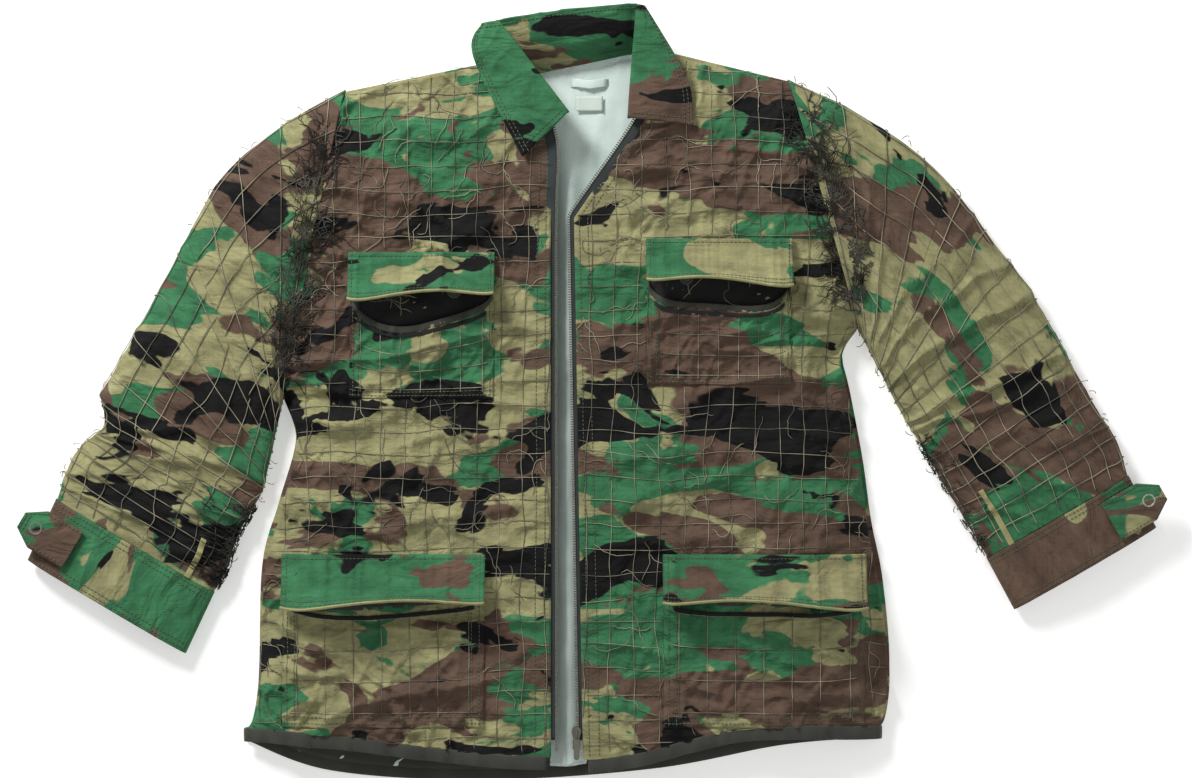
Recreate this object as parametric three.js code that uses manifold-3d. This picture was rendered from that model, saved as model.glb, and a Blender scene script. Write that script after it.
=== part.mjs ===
// Netted camouflage coat of a ghillie suit, lying on its back with the front up and the zip open.
// Millimetres, +X toward the wearer's left sleeve, +Y toward the collar, +Z up from the floor.
// "left" and "right" are the wearer's. The two halves lie a little differently, as a coat
// put down by hand does, so each half has its own outline.
import * as THREE from 'three';
import { mergeVertices } from 'three/addons/utils/BufferGeometryUtils.js';
import Module from 'manifold-3d';

const wasm = await Module();
wasm.setup();

// ---- driving dimensions -------------------------------------------------------------------

const CHEST_WIDTH = 603;          // armpit to armpit
const BODY_LENGTH = 679;          // shoulder line to front hem
const LAY_HEIGHT = 36;            // height of the empty front above the floor
const SIDE_HEIGHT = 12;           // height of the front where it meets the side seam
const CROWN_WIDTH = 70;           // width of cloth that rises from the side seam
const SHOULDER_CROWN = 80;        // the same along the shoulder line
const SHOULDER_SHARE = 0.25;      // part of the rise that is left at the shoulder line
const PIT_SPREAD = 1.2;           // how fast the body widens above the armpit, out per unit up

const CLOTH = 3;                  // outer cloth with its seam allowances
const LINING = 1.2;               // light inner lining
const NET = 0.8;                  // string netting
const GAP = 0.3;                  // between layers that lie against each other
const PANEL_GAP = 1;              // between a panel that lifts and the panel above it
const ARMHOLE_GAP = 8;            // room for the edge of a lifted front beside the sleeve

const NET_LIFT = 1.6;             // outside of the netting above a sleeve's cloth
const NET_SIDE_SLACK = 1.5;       // the netting stands off more at a sleeve's side folds
const HEM_BAND = 14;              // depth of the dark hem binding
const BACK_DROP = 12;             // how far the back hem hangs below the front hem

const FRONT_GAP = 21;             // between the two rows of zip teeth at the hem
const TAPE_WIDTH = 9;             // zip tape that shows beside the teeth
const TAPE = 1.4;                 // zip tape thickness
const BEAD_WIDTH = 3;             // row of teeth, across
const BEAD_HEIGHT = 3.2;          // row of teeth, up

const CHEST_POCKET_WIDTH = 150;
const CHEST_POCKET_DEPTH = 123;
const LOWER_POCKET_WIDTH = 211;
const LOWER_POCKET_DEPTH = 152;
const POCKET_HOLLOW = 5;          // free height inside an empty pocket
const POCKET_WALL = 1.6;
const POCKET_LIFT = 2.4;          // underside of a pocket above the front
const FLAP_SEAM_ABOVE = 29;       // flap seam above the pocket mouth
const FLAP_FROM_SIDE = 20;        // least distance of a flap from the side seam
const CHEST_FLAP_LENGTH = 60;
const LOWER_FLAP_LENGTH = 67;
const FLAP = 2.4;                 // flap thickness
const FLAP_TILT = THREE.MathUtils.degToRad(25);
const BUTTON_RADIUS = 7.5;
const BUTTON = 2.4;

const SLEEVE_MID = 12;            // height of a sleeve's side folds above the floor
const UPPER_SLEEVE_RISE = 24;     // from the side folds up to the top of the sleeve
const FOREARM_RISE = 20;
const CUFF_RISE = 13;
const SLEEVE_FLOOR = 2.6;         // underside of a sleeve above the floor

const COLLAR_CLOTH = 3.5;
const COLLAR_STAND = 46;          // height of the roll line above the floor
const COLLAR_FOOT = 12;           // height of the back neck seam

const SLIDER_LENGTH = 13;
const SLIDER_WIDTH = 10;
const SLIDER_HEIGHT = 7;
const PULL_LENGTH = 28;
const PULL_WIDTH = 6;
const BAIL_SPAN = 8;              // length of the arch that holds the pull
const BAIL_BAR = 1.3;             // thickness of the arch and of the pull's cross bar

// ---- the two halves -----------------------------------------------------------------------

const ZIP_X = -26;                // middle of the front opening
const SHOULDER_Y = 317;           // shoulder point, right half
const HEM_Y = SHOULDER_Y - BODY_LENGTH;

/** A point of the lay-out. */
function at(x, y) {
  return new THREE.Vector2(x, y);
}

/** A smooth line through a few points, read by its arc length from 0 to 1. */
function line(...points) {
  const spline = points.length === 2 ? new THREE.LineCurve(...points) : new THREE.SplineCurve(points);
  return (t) => spline.getPointAt(Math.min(1, Math.max(0, t)));
}

/** Distances out from the zip are tied to the chest width. */
const HALF = CHEST_WIDTH / 2;

const RIGHT = {
  name: 'right',
  sign: -1,
  armpit: at(ZIP_X - HALF + 2, -2),
  shoulder: at(ZIP_X - HALF + 66, SHOULDER_Y),
  neck: at(ZIP_X - 93, 346),
  seamDrop: 363,                  // drop from armpit to hem that these points belong to
  sideSeam: [[0, -3], [-13, -45], [5, -110], [23, -170], [27, -279]],   // [out from the armpit, y]
  hemOut: 40,
  hemSide: HEM_Y - 3,
  hemZip: HEM_Y - 30,
  hemSag: 0,
  axisTop: 3,                     // fold line of the front, out from the armpit at its level
  axisHem: 42,                    // and at the hem
  panelTop: 180,
  beadTop: ZIP_X - 11,
  beadHem: ZIP_X - FRONT_GAP / 2,
  neckEdge: [[-23, 200], [-24, 270], [-57, 328]],                       // [from the zip, y]
  chestPocket: { x: ZIP_X - 228, mouth: 118 },
  lowerPocket: { fromSide: 27 },
  outerUpper: [at(-58, -32), at(-125, -87), at(-166, -156)],            // from the shoulder point
  elbowOuter: at(-254, -320),
  elbowInner: at(-21, -102),                                            // from the armpit
  outerFore: [at(1, -32), at(-29, -60)],                                // from the outer elbow
  innerFore: [at(-25, -42), at(-39, -82)],                              // from the inner elbow
  cuffOuter: at(-47, -108),
  cuffInner: at(-52, -104),
  cuffDrop: at(-30, -64),
};

const LEFT = {
  name: 'left',
  sign: 1,
  armpit: at(ZIP_X + HALF + 2, 70),
  shoulder: at(ZIP_X + HALF - 70, SHOULDER_Y + 11),
  neck: at(ZIP_X + 112, 357),
  seamDrop: 432,
  sideSeam: [[-16, 44], [-8, 5], [6, -66], [15, -124], [27, -177], [34, -260]],
  hemOut: 24,
  hemSide: HEM_Y,
  hemZip: HEM_Y - 33,
  hemSag: 14,
  axisTop: 22,
  axisHem: 38,
  panelTop: 192,
  beadTop: ZIP_X - 2,
  beadHem: ZIP_X + FRONT_GAP / 2 - 2,
  neckEdge: [[27, 206], [66, 262], [88, 300]],
  chestPocket: { x: ZIP_X + 82, mouth: 132 },
  lowerPocket: { fromSide: 27 },
  outerUpper: [at(80, -40), at(155, -95), at(221, -179)],
  elbowOuter: at(267, -243),
  elbowInner: at(48, -96),
  outerFore: [at(50, -91), at(76, -134)],
  innerFore: [at(16, -25), at(45, -75)],
  cuffOuter: at(88, -172),
  cuffInner: at(88, -146),
  cuffDrop: at(29, -54),
};

const HALVES = [RIGHT, LEFT];

/** The corners and edge lines that several pieces of one half share. */
function layOut(half) {
  const { armpit, shoulder, sign } = half;
  const hem = at(armpit.x + sign * half.hemOut, half.hemSide);
  const stretch = (armpit.y - half.hemSide) / half.seamDrop;
  const seam = half.sideSeam.map(([out, y]) => (
    at(armpit.x + sign * out, armpit.y + (y - armpit.y) * stretch)
  ));
  half.hem = hem;
  half.side = line(hem, ...seam.reverse(), armpit);
  half.axisA = at(armpit.x + sign * half.axisTop, armpit.y);
  half.axisB = at(armpit.x + sign * half.axisHem, half.hemSide);
  const along = half.axisA.clone().sub(half.axisB);
  half.topSlope = -along.x / along.y;
  half.topY = (x, off = 0) => half.panelTop + off + (x - half.armholeX(half.panelTop)) * half.topSlope;
  half.armholeX = (y) => armpit.x + (shoulder.x - armpit.x) * (y - armpit.y) / (shoulder.y - armpit.y);
  const tapeOut = sign * (BEAD_WIDTH + TAPE_WIDTH + 2 * GAP);
  half.beadX = (y) => {
    const t = (y - half.hemZip) / (half.panelTop - half.hemZip);
    return half.beadHem + (half.beadTop - half.beadHem) * t;
  };
  half.edgeX = (y) => half.beadX(y) + tapeOut;
  half.hemLine = (x) => {
    const t = (x - hem.x) / (half.edgeX(half.hemZip) - hem.x);
    const fall = THREE.MathUtils.smoothstep(t, 0, 1);
    return hem.y + (half.hemZip - hem.y) * fall + half.hemSag * Math.sin(Math.PI * t) ** 2;
  };
  half.elbowOut = shoulder.clone().add(half.elbowOuter);
  half.elbowIn = armpit.clone().add(half.elbowInner);
  half.cuffOut = half.elbowOut.clone().add(half.cuffOuter);
  half.cuffIn = half.elbowIn.clone().add(half.cuffInner);
}
HALVES.forEach(layOut);

/** Rise of cloth from 0 at an edge to 1 where it lies level. */
function crown(distance, width) {
  const t = Math.min(1, Math.max(0, distance / width));
  return 1 - (1 - t) ** 2;
}

/** Height of the outer face of the coat's front above the floor at a point. */
function frontHeight(x, y) {
  const half = x < ZIP_X ? RIGHT : LEFT;
  const { armpit, shoulder, neck, sign } = half;
  const below = Math.max(0, armpit.y - y);
  const above = Math.max(0, y - armpit.y);
  const sideX = armpit.x + sign * (below * (half.hemOut / (armpit.y - half.hemSide)) + above * PIT_SPREAD);
  const fromSide = sign * (sideX - x);
  const shoulderY = shoulder.y + (neck.y - shoulder.y) * (x - shoulder.x) / (neck.x - shoulder.x);
  const fromShoulder = Math.min(shoulderY, neck.y) - y;
  const rise = (LAY_HEIGHT - SIDE_HEIGHT) * crown(fromSide, CROWN_WIDTH);
  const full = crown(fromShoulder, SHOULDER_CROWN);
  return SIDE_HEIGHT + rise * (SHOULDER_SHARE + (1 - SHOULDER_SHARE) * full);
}

// ---- solids -------------------------------------------------------------------------------

/** Keeps only positions, joins shared vertices and turns the faces outward. */
function closed(geometry) {
  geometry.deleteAttribute('normal');
  geometry.deleteAttribute('uv');
  const merged = mergeVertices(geometry, 1e-4);
  const p = merged.attributes.position;
  const index = merged.index;
  const [a, b, c] = [new THREE.Vector3(), new THREE.Vector3(), new THREE.Vector3()];
  let volume = 0;
  for (let i = 0; i < index.count; i += 3) {
    a.fromBufferAttribute(p, index.getX(i));
    b.fromBufferAttribute(p, index.getX(i + 1));
    c.fromBufferAttribute(p, index.getX(i + 2));
    volume += a.dot(b.cross(c));
  }
  if (volume < 0) {
    for (let i = 0; i < index.count; i += 3) {
      const first = index.getX(i);
      index.setX(i, index.getX(i + 1));
      index.setX(i + 1, first);
    }
  }
  return merged;
}

/**
 * A block with a grid on its broad faces, each vertex placed by (u, v, w), all from 0 to 1.
 * A flipped sheet runs its facets the other way, so that it nests on an unflipped one.
 */
function sheet(stepsU, stepsV, place, flipped = false) {
  const block = new THREE.BoxGeometry(1, 1, 1, stepsU, stepsV, 1);
  const p = block.attributes.position;
  for (let i = 0; i < p.count; i += 1) {
    const v = p.getY(i) + 0.5;
    const spot = place(p.getX(i) + 0.5, flipped ? 1 - v : v, p.getZ(i) + 0.5);
    p.setXYZ(i, spot.x, spot.y, spot.z);
  }
  return closed(block);
}

/** A tube wall with open ends, placed by (cos, sin, h, outside) around and along it. */
function tube(stepsAround, stepsAlong, place, flipped = false) {
  const profile = [];
  for (let i = 0; i <= stepsAlong; i += 1) profile.push(at(2, i / stepsAlong));
  for (let i = stepsAlong; i >= 0; i -= 1) profile.push(at(1, i / stepsAlong));
  profile.push(at(2, 0));
  const ring = new THREE.LatheGeometry(profile, stepsAround);
  const p = ring.attributes.position;
  for (let i = 0; i < p.count; i += 1) {
    const radius = Math.hypot(p.getX(i), p.getZ(i));
    const h = flipped ? 1 - p.getY(i) : p.getY(i);
    const spot = place(p.getX(i) / radius, p.getZ(i) / radius, h, radius > 1.5);
    p.setXYZ(i, spot.x, spot.y, spot.z);
  }
  return closed(ring);
}

/** A closed mesh as a solid that can be joined and cut. */
function toSolid(geometry) {
  const clean = geometry.index && !geometry.attributes.normal ? geometry : closed(geometry);
  return new wasm.Manifold(new wasm.Mesh({
    numProp: 3,
    vertProperties: new Float32Array(clean.attributes.position.array),
    triVerts: new Uint32Array(clean.index.array),
  }));
}

/** A joined or cut solid back as a geometry. */
function toGeometry(solid) {
  const mesh = solid.getMesh();
  const geometry = new THREE.BufferGeometry();
  geometry.setAttribute('position', new THREE.BufferAttribute(new Float32Array(mesh.vertProperties), 3));
  geometry.setIndex(new THREE.BufferAttribute(new Uint32Array(mesh.triVerts), 1));
  return geometry;
}

/** The first geometry less each of the others. */
function cut(body, ...tools) {
  return toGeometry(tools.reduce((rest, tool) => rest.subtract(toSolid(tool)), toSolid(body)));
}

/** Several overlapping geometries as one. */
function join(...parts) {
  return toGeometry(parts.map(toSolid).reduce((whole, part) => whole.add(part)));
}

/** A box from its lowest to its highest corner. */
function box(x0, y0, z0, x1, y1, z1) {
  const block = new THREE.BoxGeometry(x1 - x0, y1 - y0, z1 - z0);
  return block.translate((x0 + x1) / 2, (y0 + y1) / 2, (z0 + z1) / 2);
}

// ---- finishes -----------------------------------------------------------------------------

const woodland = new THREE.MeshStandardMaterial({ color: '#5c6b47', roughness: 0.92, metalness: 0 });
const woodlandGreen = new THREE.MeshStandardMaterial({ color: '#3f7a52', roughness: 0.92, metalness: 0 });
const sand = new THREE.MeshStandardMaterial({ color: '#8c8f68', roughness: 0.92, metalness: 0 });
const binding = new THREE.MeshStandardMaterial({ color: '#34352f', roughness: 0.9, metalness: 0 });
const liningCloth = new THREE.MeshStandardMaterial({ color: '#c3d4cc', roughness: 0.8, metalness: 0 });
const string = new THREE.MeshStandardMaterial({ color: '#8b8878', roughness: 0.95, metalness: 0 });
const tapeCloth = new THREE.MeshStandardMaterial({ color: '#3a4342', roughness: 0.85, metalness: 0 });
const brass = new THREE.MeshStandardMaterial({ color: '#8d8a78', roughness: 0.4, metalness: 1 });
const plastic = new THREE.MeshStandardMaterial({ color: '#2f3a2c', roughness: 0.5, metalness: 0 });
const snapMetal = new THREE.MeshStandardMaterial({ color: '#c9d2c6', roughness: 0.35, metalness: 1 });

const coat = new THREE.Group();

/** Adds one named piece to the coat. */
function add(name, geometry, material) {
  const piece = new THREE.Mesh(geometry, material);
  piece.name = name;
  coat.add(piece);
}

// ---- back -----------------------------------------------------------------------------------

const BACK_HEM_DEPTH = Math.min(RIGHT.hemZip, LEFT.hemZip) - BACK_DROP;

const BACK_HEM_STEPS = 24;

/** The back hem, from the right side seam to the left. */
const backHem = line(
  RIGHT.hem,
  at(ZIP_X - 250, RIGHT.hemSide - 32),
  at(ZIP_X - 90, BACK_HEM_DEPTH),
  at(ZIP_X + 90, BACK_HEM_DEPTH + 12),
  at(ZIP_X + 226, LEFT.hemSide - 8),
  LEFT.hem,
);

/** Outline of the flat back, with the hem moved up and the rest moved in. */
function backOutline(hemUp, inset) {
  const outline = new THREE.Shape();
  const hemPoints = [];
  for (let i = 0; i <= BACK_HEM_STEPS; i += 1) {
    const p = backHem(i / BACK_HEM_STEPS);
    hemPoints.push(at(p.x + (ZIP_X - p.x) / HALF * inset, p.y + hemUp));
  }
  const sideStart = (hemUp + 8) / (RIGHT.armpit.y - RIGHT.hemSide);
  const leftSide = [];
  const rightSide = [];
  for (let i = 0; i <= 8; i += 1) {
    const t = sideStart + (1 - sideStart) * i / 8;
    leftSide.push(LEFT.side(t).add(at(-inset, 0)));
    rightSide.push(RIGHT.side(t).add(at(inset, 0)));
  }
  const top = [
    LEFT.shoulder.clone().add(at(-inset, -inset)),
    LEFT.neck.clone().add(at(0, -inset)),
    at(ZIP_X + 64, 361 - inset),
    at(ZIP_X - 37, 340 - inset),
    RIGHT.neck.clone().add(at(0, -inset)),
    RIGHT.shoulder.clone().add(at(inset, -inset)),
  ];
  outline.setFromPoints([...hemPoints, ...leftSide, ...top, ...rightSide.reverse()]);
  return outline;
}

/** A flat layer of the back between two heights. */
function backLayer(z, thickness, hemUp, inset) {
  const outline = backOutline(hemUp, inset);
  const slab = new THREE.ExtrudeGeometry(outline, { depth: thickness, bevelEnabled: false });
  return slab.translate(0, 0, z);
}

const BACK_Z = NET + GAP;
const BACK_TOP = BACK_Z + CLOTH;

/** Back cloth, its netting, lining, hem binding and the loop it hangs by. */
function addBack() {
  add('back_panel', closed(backLayer(BACK_Z, CLOTH, HEM_BAND + GAP, 0)), woodland);
  add('back_netting', closed(backLayer(0, NET, HEM_BAND + GAP, 2)), string);
  add('back_lining', closed(backLayer(BACK_TOP + GAP, LINING, HEM_BAND + 12, 14)), liningCloth);
  const hemBand = sheet(BACK_HEM_STEPS, 1, (u, v, w) => {
    const p = backHem(u);
    return new THREE.Vector3(p.x, p.y + v * HEM_BAND, w * (BACK_TOP + 0.6));
  });
  add('back_hem_binding', hemBand, binding);
  const loopOuter = box(ZIP_X + 2, 318, BACK_TOP + 2, ZIP_X + 42, 334, BACK_TOP + 7);
  const loopHole = box(ZIP_X + 8, 314, BACK_TOP + 2.8, ZIP_X + 36, 338, BACK_TOP + 5.6);
  add('hanger_loop', cut(loopOuter, loopHole), binding);
}

// ---- fronts ---------------------------------------------------------------------------------

const PIT_SHARE = 0.7;            // part of a front panel's outer edge that lies below the armpit

/** Place on a front panel: u from the side seam to the zip edge, v from the hem to the top. */
function frontSpot(half, u, v) {
  const top = half.topY(half.edgeX(half.panelTop), -PANEL_GAP);
  const sideTopX = half.armholeX(half.panelTop) - half.sign * ARMHOLE_GAP;
  const sideTop = at(sideTopX, half.topY(sideTopX, -PANEL_GAP));
  const side = v < PIT_SHARE
    ? half.side(v / PIT_SHARE)
    : half.armpit.clone().lerp(sideTop, (v - PIT_SHARE) / (1 - PIT_SHARE));
  const inset = ARMHOLE_GAP * THREE.MathUtils.smoothstep(v, 0.5, PIT_SHARE);
  if (v < 1) side.x -= half.sign * inset * (v < PIT_SHARE ? 1 : 1 - (v - PIT_SHARE) / (1 - PIT_SHARE));
  const zipY = half.hemZip + (top - half.hemZip) * v;
  const zip = at(half.edgeX(zipY), zipY);
  const spot = side.lerp(zip, u ** 1.4);
  const y = spot.y + (half.hemLine(spot.x) + HEM_BAND + 2 * GAP - spot.y) * (1 - v) ** 4;
  return at(spot.x + (half.edgeX(y) - half.edgeX(spot.y)) * u, y);
}

/** A layer of a front panel, between two heights measured from its outer face. */
function frontLayer(half, under, over, flipped = false) {
  return sheet(10, 9, (u, v, w) => {
    const p = frontSpot(half, u, v);
    return new THREE.Vector3(p.x, p.y, frontHeight(p.x, p.y) + (w ? over : under));
  }, flipped);
}

/** One pocket's places: corners of the pouch and the seam of its flap. */
function pocketSpots(half) {
  const chest = half.chestPocket;
  const lower = half.lowerPocket;
  const lowerBottom = (half.hemSide + half.hemZip) / 2 + HEM_BAND + 16;
  const flapY = lowerBottom + LOWER_POCKET_DEPTH + FLAP_SEAM_ABOVE;
  const flapShare = (flapY - half.hemSide) / (half.armpit.y - half.hemSide);
  const atPouch = half.sign * half.side(0.28).x - lower.fromSide;
  const atFlap = half.sign * half.side(flapShare).x - FLAP_FROM_SIDE;
  const sideX = half.sign * Math.min(atPouch, atFlap);
  const lowerX = half.sign < 0 ? sideX : sideX - LOWER_POCKET_WIDTH;
  return {
    chest: {
      x0: chest.x,
      x1: chest.x + CHEST_POCKET_WIDTH,
      y0: chest.mouth - CHEST_POCKET_DEPTH,
      y1: chest.mouth,
      flap: CHEST_FLAP_LENGTH,
    },
    lower: {
      x0: lowerX,
      x1: lowerX + LOWER_POCKET_WIDTH,
      y0: lowerBottom,
      y1: lowerBottom + LOWER_POCKET_DEPTH,
      flap: LOWER_FLAP_LENGTH,
    },
  };
}

const POCKET_HEIGHT = POCKET_HOLLOW + 2 * POCKET_WALL;

/** A block that follows the front, between two heights over its outer face. */
function onFront(x0, y0, x1, y1, under, over) {
  return sheet(8, 1, (u, v, w) => {
    const x = x0 + (x1 - x0) * u;
    const y = y0 + (y1 - y0) * v;
    return new THREE.Vector3(x, y, frontHeight(x, y) + (w ? over : under));
  });
}

/** A flat pouch, open along its upper edge. */
function pouch({ x0, y0, x1, y1 }) {
  const base = POCKET_LIFT;
  const seam = 6;
  const outer = onFront(x0, y0, x1, y1, base, base + POCKET_HEIGHT);
  const floor = base + POCKET_WALL;
  const hollow = onFront(x0 + seam, y0 + seam, x1 - seam, y1 + 5, floor, floor + POCKET_HOLLOW);
  return cut(outer, hollow);
}

/** A flap that leaves the front at its seam and stands a little open. */
function flap({ x0, x1, y1, flap: length }) {
  const seamY = y1 + FLAP_SEAM_ABOVE;
  return sheet(8, 2, (u, v, w) => {
    const x = x0 - 1 + (x1 - x0 + 2) * u;
    const corner = 4 * (2 * Math.abs(u - 0.5)) ** 8;
    const reach = v * (length - corner);
    const y = seamY - reach * Math.cos(FLAP_TILT) - (1 - w) * FLAP * Math.sin(FLAP_TILT);
    const foot = frontHeight(x, seamY) + POCKET_LIFT + 1;
    return new THREE.Vector3(x, y, foot + reach * Math.sin(FLAP_TILT) + w * FLAP);
  });
}

/** A four-hole button lying at a point. */
function button(x, y, z, radius, thickness) {
  const profile = [
    at(0, 0),
    at(radius * 0.9, 0),
    at(radius, thickness * 0.4),
    at(radius, thickness),
    at(radius * 0.78, thickness),
    at(radius * 0.7, thickness * 0.65),
    at(0, thickness * 0.65),
  ];
  const disc = new THREE.LatheGeometry(profile, 12);
  disc.rotateX(Math.PI / 2);
  return closed(disc.translate(x, y, z));
}

/** Pouch, flap and two buttons of each pocket of one half. */
function addPockets(half) {
  const spots = pocketSpots(half);
  for (const [kind, spot] of Object.entries(spots)) {
    const label = `${kind}_pocket_${half.name}`;
    add(label, pouch(spot), kind === 'chest' ? woodland : woodlandGreen);
    add(`${kind}_flap_${half.name}`, flap(spot), sand);
    const buttonY = spot.y1 - 12;
    [0.27, 0.73].forEach((share, i) => {
      const x = spot.x0 + (spot.x1 - spot.x0) * share;
      const z = frontHeight(x, buttonY) + POCKET_LIFT + POCKET_HEIGHT + 0.6;
      add(`${kind}_button_${half.name}_${i + 1}`, button(x, buttonY, z, BUTTON_RADIUS, BUTTON), plastic);
    });
  }
}

/** Netting of one front, left open round its pockets. */
function frontNetting(half) {
  const net = frontLayer(half, GAP, GAP + NET, true);
  const clear = 1.5;
  const holes = Object.values(pocketSpots(half)).map(({ x0, x1, y0, y1 }) => (
    box(x0 - clear, y0 - clear, 0, x1 + clear, y1 + FLAP_SEAM_ABOVE + clear + 2, 2 * LAY_HEIGHT)
  ));
  return cut(net, ...holes);
}

/** Hem binding of one front. */
function frontHemBand(half) {
  return sheet(10, 1, (u, v, w) => {
    const edge = half.edgeX(half.hemZip);
    const x = half.hem.x + (edge - half.hem.x) * u;
    const y = half.hemLine(x) + v * HEM_BAND;
    return new THREE.Vector3(x, y, frontHeight(x, y) + (w ? 0.8 : -CLOTH - 0.4));
  });
}

/** Tape and row of teeth along a front edge, between two heights along the coat. */
function addZipRow(half, suffix, y0, y1) {
  const rowZ = LAY_HEIGHT - CLOTH;
  const tape = sheet(1, 1, (u, v, w) => {
    const y = y0 + (y1 - y0) * v;
    const x = half.edgeX(y) - half.sign * (GAP + TAPE_WIDTH * u);
    return new THREE.Vector3(x, y, rowZ + 0.6 + w * TAPE);
  });
  const bead = sheet(2, 1, (u, v, w) => {
    const y = y0 + (y1 - y0) * v;
    const x = half.beadX(y) + half.sign * BEAD_WIDTH * u;
    const round = u === 0.5 ? 0.4 : 0;
    return new THREE.Vector3(x, y, rowZ - 0.3 - (w ? 0 : round) + w * (BEAD_HEIGHT + round));
  });
  add(`zip_tape_${half.name}${suffix}`, tape, tapeCloth);
  add(`zip_teeth_${half.name}${suffix}`, bead, brass);
}

/** Front panel, netting, lining, hem, pockets and zip edge of one half. */
function addFront(half) {
  add(`front_panel_${half.name}`, frontLayer(half, -CLOTH, 0), woodland);
  add(`front_netting_${half.name}`, frontNetting(half), string);
  const lining = frontLayer(half, -CLOTH - GAP - LINING, -CLOTH - GAP, true);
  add(`front_lining_${half.name}`, lining, liningCloth);
  add(`front_hem_binding_${half.name}`, frontHemBand(half), binding);
  addPockets(half);
  const top = half.topY(half.edgeX(half.panelTop), -PANEL_GAP);
  addZipRow(half, '', ZIP_FOOT_Y, top);
}

// ---- zip ------------------------------------------------------------------------------------

const ZIP_FOOT_Y = LEFT.hemZip + 34;      // lowest end of the rows of teeth
const RETAINER_LENGTH = 9;

/** Moves a zip piece made round the origin onto the left row of teeth. */
function onZip(geometry, y) {
  const x = LEFT.beadX(y) + BEAD_WIDTH / 2;
  const turn = Math.atan2(LEFT.beadHem - LEFT.beadTop, LEFT.panelTop - LEFT.hemZip);
  const placed = geometry.rotateZ(turn);
  return placed.translate(x, y, LAY_HEIGHT - CLOTH - 0.3 + BEAD_HEIGHT / 2);
}

/** An outline made into a flat slab. */
function slabOf(outline, depth) {
  return new THREE.ExtrudeGeometry(outline, { depth, bevelEnabled: false, curveSegments: 6 });
}

/** Slider with its channel and arch, its pull, the retainer box and the loose pin. */
function addZipParts() {
  const sliderY = ZIP_FOOT_Y + SLIDER_LENGTH / 2 + 1;
  const reach = SLIDER_WIDTH / 2 + 1;
  const topZ = SLIDER_HEIGHT / 2;
  const wide = SLIDER_WIDTH - reach;
  const tip = SLIDER_LENGTH / 2;
  const shield = new THREE.Shape();
  shield.moveTo(-reach + 2, -tip);
  shield.lineTo(wide - 2, -tip);
  shield.lineTo(wide, 1);
  shield.quadraticCurveTo(wide, tip, SLIDER_WIDTH / 2 - reach, tip);
  shield.quadraticCurveTo(-reach, tip, -reach, 1);
  const plates = slabOf(shield, SLIDER_HEIGHT);
  plates.translate(0, 0, -topZ);
  const room = 0.7;
  const channelX = BEAD_WIDTH / 2 + room;
  const channelZ = BEAD_HEIGHT / 2 + room;
  const channel = box(-channelX, -20, -channelZ - 0.2, channelX, 20, channelZ);
  const tapeSlot = box(0, -20, -BEAD_HEIGHT / 2, 20, 20, BEAD_HEIGHT / 2 - 0.2);
  const bailX = SLIDER_WIDTH / 2 - reach;
  const half = BAIL_SPAN / 2;
  const archTop = topZ + 2.6 * BAIL_BAR + BAIL_BAR;
  const arch = [
    box(bailX - 0.8, -half, topZ - 0.3, bailX + 0.8, -half + BAIL_BAR, archTop),
    box(bailX - 0.8, half - BAIL_BAR, topZ - 0.3, bailX + 0.8, half, archTop),
    box(bailX - 0.8, -half, archTop - BAIL_BAR, bailX + 0.8, half, archTop),
  ];
  const slider = join(cut(plates, channel, tapeSlot), ...arch);
  add('zip_slider', onZip(slider, sliderY), brass);

  const barZ = topZ + 0.6;
  const eye = half + 2;
  const outline = new THREE.Shape();
  outline.moveTo(-PULL_WIDTH / 2, BAIL_BAR / 2);
  outline.lineTo(-PULL_WIDTH / 2, -PULL_LENGTH + PULL_WIDTH / 2);
  outline.absarc(0, -PULL_LENGTH + PULL_WIDTH / 2, PULL_WIDTH / 2, Math.PI, 2 * Math.PI, false);
  outline.lineTo(PULL_WIDTH / 2, BAIL_BAR / 2);
  const window = new THREE.Path();
  window.moveTo(-1.6, -BAIL_BAR / 2);
  window.lineTo(1.6, -BAIL_BAR / 2);
  window.lineTo(1.6, -eye);
  window.lineTo(-1.6, -eye);
  outline.holes.push(window);
  const pull = slabOf(outline, BAIL_BAR);
  add('zip_pull', closed(onZip(pull.translate(bailX, 0, barZ), sliderY)), brass);

  const boxZ = SLIDER_HEIGHT / 2 - 0.6;
  const retainer = box(-reach + 1, -RETAINER_LENGTH, -boxZ, BEAD_WIDTH / 2 + 1, 0, boxZ);
  add('zip_retainer_box', closed(onZip(retainer, ZIP_FOOT_Y - GAP)), brass);
  const pinX = RIGHT.beadX(ZIP_FOOT_Y) - BEAD_WIDTH;
  const pinZ = LAY_HEIGHT - CLOTH;
  const pin = box(pinX, ZIP_FOOT_Y - GAP - 11, pinZ, pinX + 2.2, ZIP_FOOT_Y - GAP, pinZ + 2.2);
  add('zip_insertion_pin', closed(pin), brass);
}

// ---- yokes and collar -----------------------------------------------------------------------

/** Place on a yoke: u from the armhole to the front edge, v from the front panel to the shoulder. */
function yokeSpot(half, u, v) {
  const low = at(half.armholeX(half.panelTop) - half.sign * 1, half.panelTop);
  const outer = low.lerp(half.shoulder.clone().add(at(-half.sign * 1, 0)), v);
  const y = half.topY(half.edgeX(half.panelTop));
  const edge = half.neckEdge.map(([out, edgeY]) => at(ZIP_X + out, edgeY));
  const inner = line(at(half.edgeX(y), y), ...edge, half.neck)(v);
  return outer.lerp(inner, u);
}

/** A layer of a yoke, between two heights measured from its outer face. */
function yokeLayer(half, under, over, flipped = false) {
  return sheet(8, 6, (u, v, w) => {
    const p = yokeSpot(half, u, v);
    return new THREE.Vector3(p.x, p.y, frontHeight(p.x, p.y) + (w ? over : under));
  }, flipped);
}

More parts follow.
